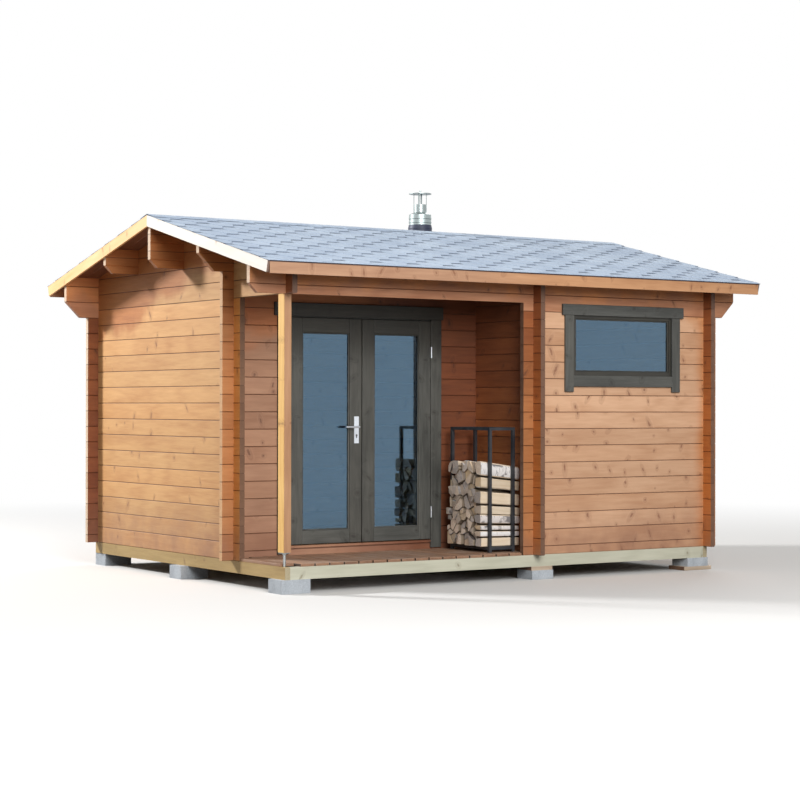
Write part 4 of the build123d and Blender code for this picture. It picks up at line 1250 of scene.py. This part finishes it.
def buildFirewood():
    low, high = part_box("firewood")
    values = woodValues
    chance = random.Random(values["seed"])
    bm, grain = startMesh(), seeds(1500.0)

    # the stack falls off a little towards the side wall of the porch
    def addCorner(x, flat, middle, seed, hidden):
        z = flat.y - values["fall"] * (x - low.x) * (flat.y - low.z) / (high.z - low.z)
        spot = (x, min(max(flat.x, low.y), high.y), min(max(z, low.z), high.z))
        return addVert(bm, spot, (x, flat.x - middle.x, flat.y - middle.y), seed, hidden)

    pieces = [(piece, values["frontSlide"]) for piece in frontRow(low, high, chance)]
    pieces += [(piece, values["slideOut"]) for piece in packedPieces(low, high, chance)]
    for (points, barked, middle), slide in pieces:
        seed = next(grain)
        x1 = low.x + chance.uniform(0, 1) ** 1.5 * slide
        x2 = high.x - chance.uniform(0, slide)
        twist = chance.uniform(-values["twist"], values["twist"])
        rings, inner = [], {}
        for number in range(values["slices"] + 1):
            part = number / values["slices"]
            x = x1 + (x2 - x1) * part
            swell = 1 - values["swell"] * chance.random()
            cosine, sine = math.cos(twist * part), math.sin(twist * part)
            row = []
            for index, point in enumerate(points):
                away = (point - middle) * swell
                flat = middle + Vector((away.x * cosine - away.y * sine, away.x * sine + away.y * cosine))
                # painted shade: faces away from the front and top of the stack are darkened like the shade in
                # the gaps
                outer = point.x < low.y + values["skin"] or point.y > high.z - values["skin"]
                row.append(addCorner(x, flat, middle, seed, 0.0 if outer else values["hidden"]))
                if part in (0, 1) and barked[index] and barked[index - 1]:
                    flat = flat + (middle - flat).normalized() * values["rim"]
                    inner[part, index] = addCorner(x, flat, middle, seed, 0.0)
            rings.append(row)
        following = [*range(1, len(points)), 0]
        for before, after in zip(rings, rings[1:]):
            for i, j in enumerate(following):
                side = bm.faces.new((before[i], before[j], after[j], after[i]))
                side.material_index = 2 if barked[i] else 0
        for part, row in ((0, rings[0]), (1, rings[-1])):
            loop = [inner.get((part, index), vert) for index, vert in enumerate(row)]
            bm.faces.new(loop).material_index = 1
            for i, j in enumerate(following):
                corners = list(dict.fromkeys((row[i], row[j], loop[j], loop[i])))
                if len(corners) > 2:
                    bm.faces.new(corners).material_index = 2
    evenNormals(bm)
    finishes = [boardMaterial("splitWood", "split", knots=0.1, gaps=values["dirt"]), splitEndMaterial(),
                barkMaterial()]
    stack = newPiece("splitLogs", bm, finishes, "cabin")
    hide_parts("firewood")


buildFirewood()
print("firewood stacked")


# Door leaves, frames and casings from single boards
joineryValues = {
    "edge": 0.003, "gap": 0.0004, "bead": 0.012, "beadDepth": 0.009, "beadEdge": 0.0025, "beadGap": 0.0002,
    "leafBorders": (0.114, 0.108, 0.117), "leafEdge": 0.004, "sashBorders": (0.045, 0.045, 0.045),
    "sashEdge": 0.002,
}
stainFinish = {"knots": 0.5, "blotches": 0.55, "strength": 0.7}
stainedWood = boardMaterial("stainedWood", "stained", **stainFinish)
# painted shade on the upper part of the door leaves and casing
doorWood = boardMaterial("doorWood", "stained", shadeAbove=("stainedShaded", 1.7, 2.0), **stainFinish)
# painted shade: the window sash all in the shaded colour
sashWood = boardMaterial("sashWood", "stainedShaded", knots=0.1, blotches=0.5, strength=0.7)
stainedEnds = endMaterial("stainedEnds", "stained")


# rows are boards in one plane, each as its lower left and upper right corner and the axis of its grain
def addBoards(bm, y1, y2, rows, grain, edge):
    for x1, z1, x2, z2, along in rows:
        addBoard(bm, (x1, y1, z1), (x2, y2, z2), along, grain, edge)


# Two uprights with cross pieces between them and glazing beads round the inside, before and behind the
# pane. borders are the widths of sides, foot and head
def buildSash(name, node, pane, wood, body, start, borders, edge):
    values = joineryValues
    low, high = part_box(node)
    paneLow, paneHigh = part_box(pane)
    sides, foot, head = borders
    bm, grain = startMesh(), seeds(start)
    x1, x2, z1, z2 = low.x + sides, high.x - sides, low.z + foot, high.z - head
    left, right, bead = x1 + values["gap"], x2 - values["gap"], values["bead"]
    addBoards(bm, low.y, high.y, (
        (low.x, low.z, x1, high.z, 2), (x2, low.z, high.x, high.z, 2),
        (left, z2, right, high.z, 0), (left, low.z, right, z1, 0)), grain, edge)
    for face, way in ((paneLow.y, -1), (paneHigh.y, 1)):
        y1, y2 = sorted((face + way * values["beadDepth"], face + way * values["beadGap"]))
        addBoards(bm, y1, y2, (
            (x1, z1, x1 + bead, z2, 2), (x2 - bead, z1, x2, z2, 2), (x1 + bead, z1, x2 - bead, z1 + bead, 0),
            (x1 + bead, z2 - bead, x2 - bead, z2, 0)), grain, values["beadEdge"])
    sash = newPiece(name, bm, [wood, stainedEnds], body)
    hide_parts(node)


for name, side, start in (("leftLeafFrame", "left", 2100.0), ("rightLeafFrame", "right", 2150.0)):
    buildSash(name, "door_" + side, "pane_" + side, doorWood, side + "_leaf", start,
              joineryValues["leafBorders"], joineryValues["leafEdge"])

casingValues = {"sunk": 0.005, "headGap": 0.0005, "crossGap": 0.0004}
casings = {  # the node, its wood, where the uprights stand, the underside of the head, and a board between
    "doorCasingBoards": ("door_casing", doorWood, ((-1.728, -1.623), (-0.253, -0.148)), 2.132, None),
    "windowCasingBoards": ("window_casing", stainedWood, ((0.540, 0.629), (1.703, 1.792)),
                           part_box("window_casing")[1].z - 0.092, (1.576, 1.668)),
}


def buildCasings():
    grain = seeds(2300.0)
    edge = joineryValues["edge"]
    for name, (node, wood, uprights, headLow, cross) in casings.items():
        low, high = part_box(node)
        face = low.y + casingValues["sunk"]
        bm = startMesh()
        rows = [(x1, low.z, x2, headLow, 2) for x1, x2 in uprights]
        if cross:
            left, right = uprights[0][1] + casingValues["crossGap"], uprights[1][0] - casingValues["crossGap"]
            rows.append((left, cross[0], right, cross[1], 0))
        addBoards(bm, face, high.y, rows, grain, edge)
        addBoard(bm, (low.x, low.y, headLow + casingValues["headGap"]), high, 0, grain, edge)
        casing = newPiece(name, bm, [wood, stainedEnds], "cabin")
        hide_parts(node)


buildCasings()
buildSash("windowFrameBoards", "window_frame", "window_pane", sashWood, "cabin", 2500.0,
          joineryValues["sashBorders"], joineryValues["sashEdge"])
setMaterial(nodeWood("doorFrameWood", "stained", (2, 0, 1), "stained", seed=33.0), "door_frame")

# Lock cylinder in both handle plates: a round head with a lug under it
lockValues = {
    "drop": 0.068, "head": 0.0085, "lug": 0.0050, "reach": 0.0170, "proud": 0.0016, "sunk": 0.0006,
    "slot": (0.0014, 0.0003, 0.0105), "slotDrop": 0.002,
}


def buildLock():
    values = lockValues
    low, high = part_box("handle_plates")
    leverLow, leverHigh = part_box("lever_handle")
    x = (low.x + high.x) / 2
    z = (leverLow.z + leverHigh.z) / 2 - values["drop"]
    head, lug, sunk, proud = (values[key] for key in ("head", "lug", "sunk", "proud"))
    lean = math.asin(lug / head)
    outline = [(math.sin(a) * head, math.cos(a) * head)
               for a in (lean - math.pi + (math.pi - lean) * 2 * i / 20 for i in range(21))]
    outline += [(math.cos(a) * lug, -values["reach"] - math.sin(a) * lug)
                for a in (math.pi * i / 8 for i in range(9))]
    bm = bmesh.new()
    for inner, outer, way in ((low.y + sunk, low.y - proud, -1), (high.y - sunk, high.y + proud, 1)):
        rings = [[bm.verts.new((x + across, y, z + up)) for across, up in outline] for y in (inner, outer)]
        for ring in rings:
            bm.faces.new(ring)
        for i in range(len(outline)):
            bm.faces.new((rings[0][i - 1], rings[0][i], rings[1][i], rings[1][i - 1]))
        # painted shade: the keyway is a thin dark box on the face, in place of the shade inside the slot
        wide, deep, tall = values["slot"]
        made = bmesh.ops.create_cube(bm, size=1.0)["verts"]
        for vert in made:
            vert.co = Vector((x + vert.co.x * wide, outer + (vert.co.y + 0.5) * way * deep,
                              z - values["slotDrop"] + vert.co.z * tall))
        for face in {face for vert in made for face in vert.link_faces}:
            face.material_index = 1
    evenNormals(bm)
    finishes = [metalMaterial("lockSteel", (96, 98, 100), (0.3, 0.45)),
                metalMaterial("slotDark", (24, 24, 26), (0.5, 0.7), metallic=0.0)]
    newPiece("lockCylinder", bm, finishes, "left_leaf")


buildLock()
print("doors and window dressed")


# Floor, light and background
stageValues = {
    "size": 60.0, "drop": 0.001, "floor": (226, 225, 223), "floorLight": (96, 94, 92), "ambient": 0.25,
    "fade": (4.5, 13.0),
}
lamps = {
    "key": {"place": (-10.2, 9.2, 8.4), "size": 2.4, "power": 2500.0},
    "fill": {"place": (-4.0, -12.8, 6.2), "size": 8.0, "power": 1650.0},
    "side": {"place": (9.0, 6.0, 8.0), "size": 6.0, "power": 400.0},
}
lampTarget = Vector((0, 0, 1.2))


# 1 for rays that show the background: straight, mirrored or through glass
def shownRays(tree):
    rays = place(tree, "LightPath")
    mirrored = rays["Is Glossy Ray"].maths("MAXIMUM", rays["Is Transmission Ray"])
    return rays["Is Camera Ray"].maths("MAXIMUM", mirrored)


def buildGround():
    material, tree = freshMaterial("ground")
    # pale where it is seen, darker for the light that it throws back up
    colour = mix(shownRays(tree), shade(*stageValues["floorLight"]), shade(*stageValues["floor"]))
    finishMaterial(material, colour, 0.95)
    # the floor fades to the white of the background away from the cabin
    x, y = parted(place(tree, "TexCoord")["Object"])[:2]
    faded = fade(lengthOf(joined(x, y, 0.0)), *stageValues["fade"])
    glow = place(tree, "Emission", {"Color": white, "Strength": 1.0})[0]
    floor = Value(nodeOf(tree, "BSDF_PRINCIPLED").outputs[0])
    mixed = place(tree, "MixShader", {0: faded * shownRays(tree), 1: floor, 2: glow})[0]
    feed(nodeOf(tree, "OUTPUT_MATERIAL").inputs["Surface"], mixed)
    bm = bmesh.new()
    bmesh.ops.create_grid(bm, x_segments=1, y_segments=1, size=stageValues["size"])
    ground = meshObject("ground", bm, [material])
    ground.location.z = -stageValues["drop"]


def buildWorld():
    world = bpy.data.worlds.new("world")
    bpy.context.scene.world = world
    world.use_nodes = True
    tree = world.node_tree
    tree.nodes.clear()
    plain, bright = (place(tree, "Background", {"Color": white, "Strength": strength})[0]
                     for strength in (stageValues["ambient"], 1.0))
    mixed = place(tree, "MixShader", {0: shownRays(tree), 1: plain, 2: bright})[0]
    place(tree, "OutputWorld", {"Surface": mixed})


def addLamp(name, values):
    data = bpy.data.lights.new(name, "AREA")
    data.shape, data.size, data.energy = "DISK", values["size"], values["power"]
    lamp = addObject(name, data)
    lamp.location = Vector(values["place"])
    lamp.rotation_euler = (lampTarget - lamp.location).to_track_quat("-Z", "Y").to_euler()


buildGround()
buildWorld()
for name, values in lamps.items():
    addLamp(name, values)
bpy.context.scene.view_settings.view_transform = "Standard"
print("stage lit")
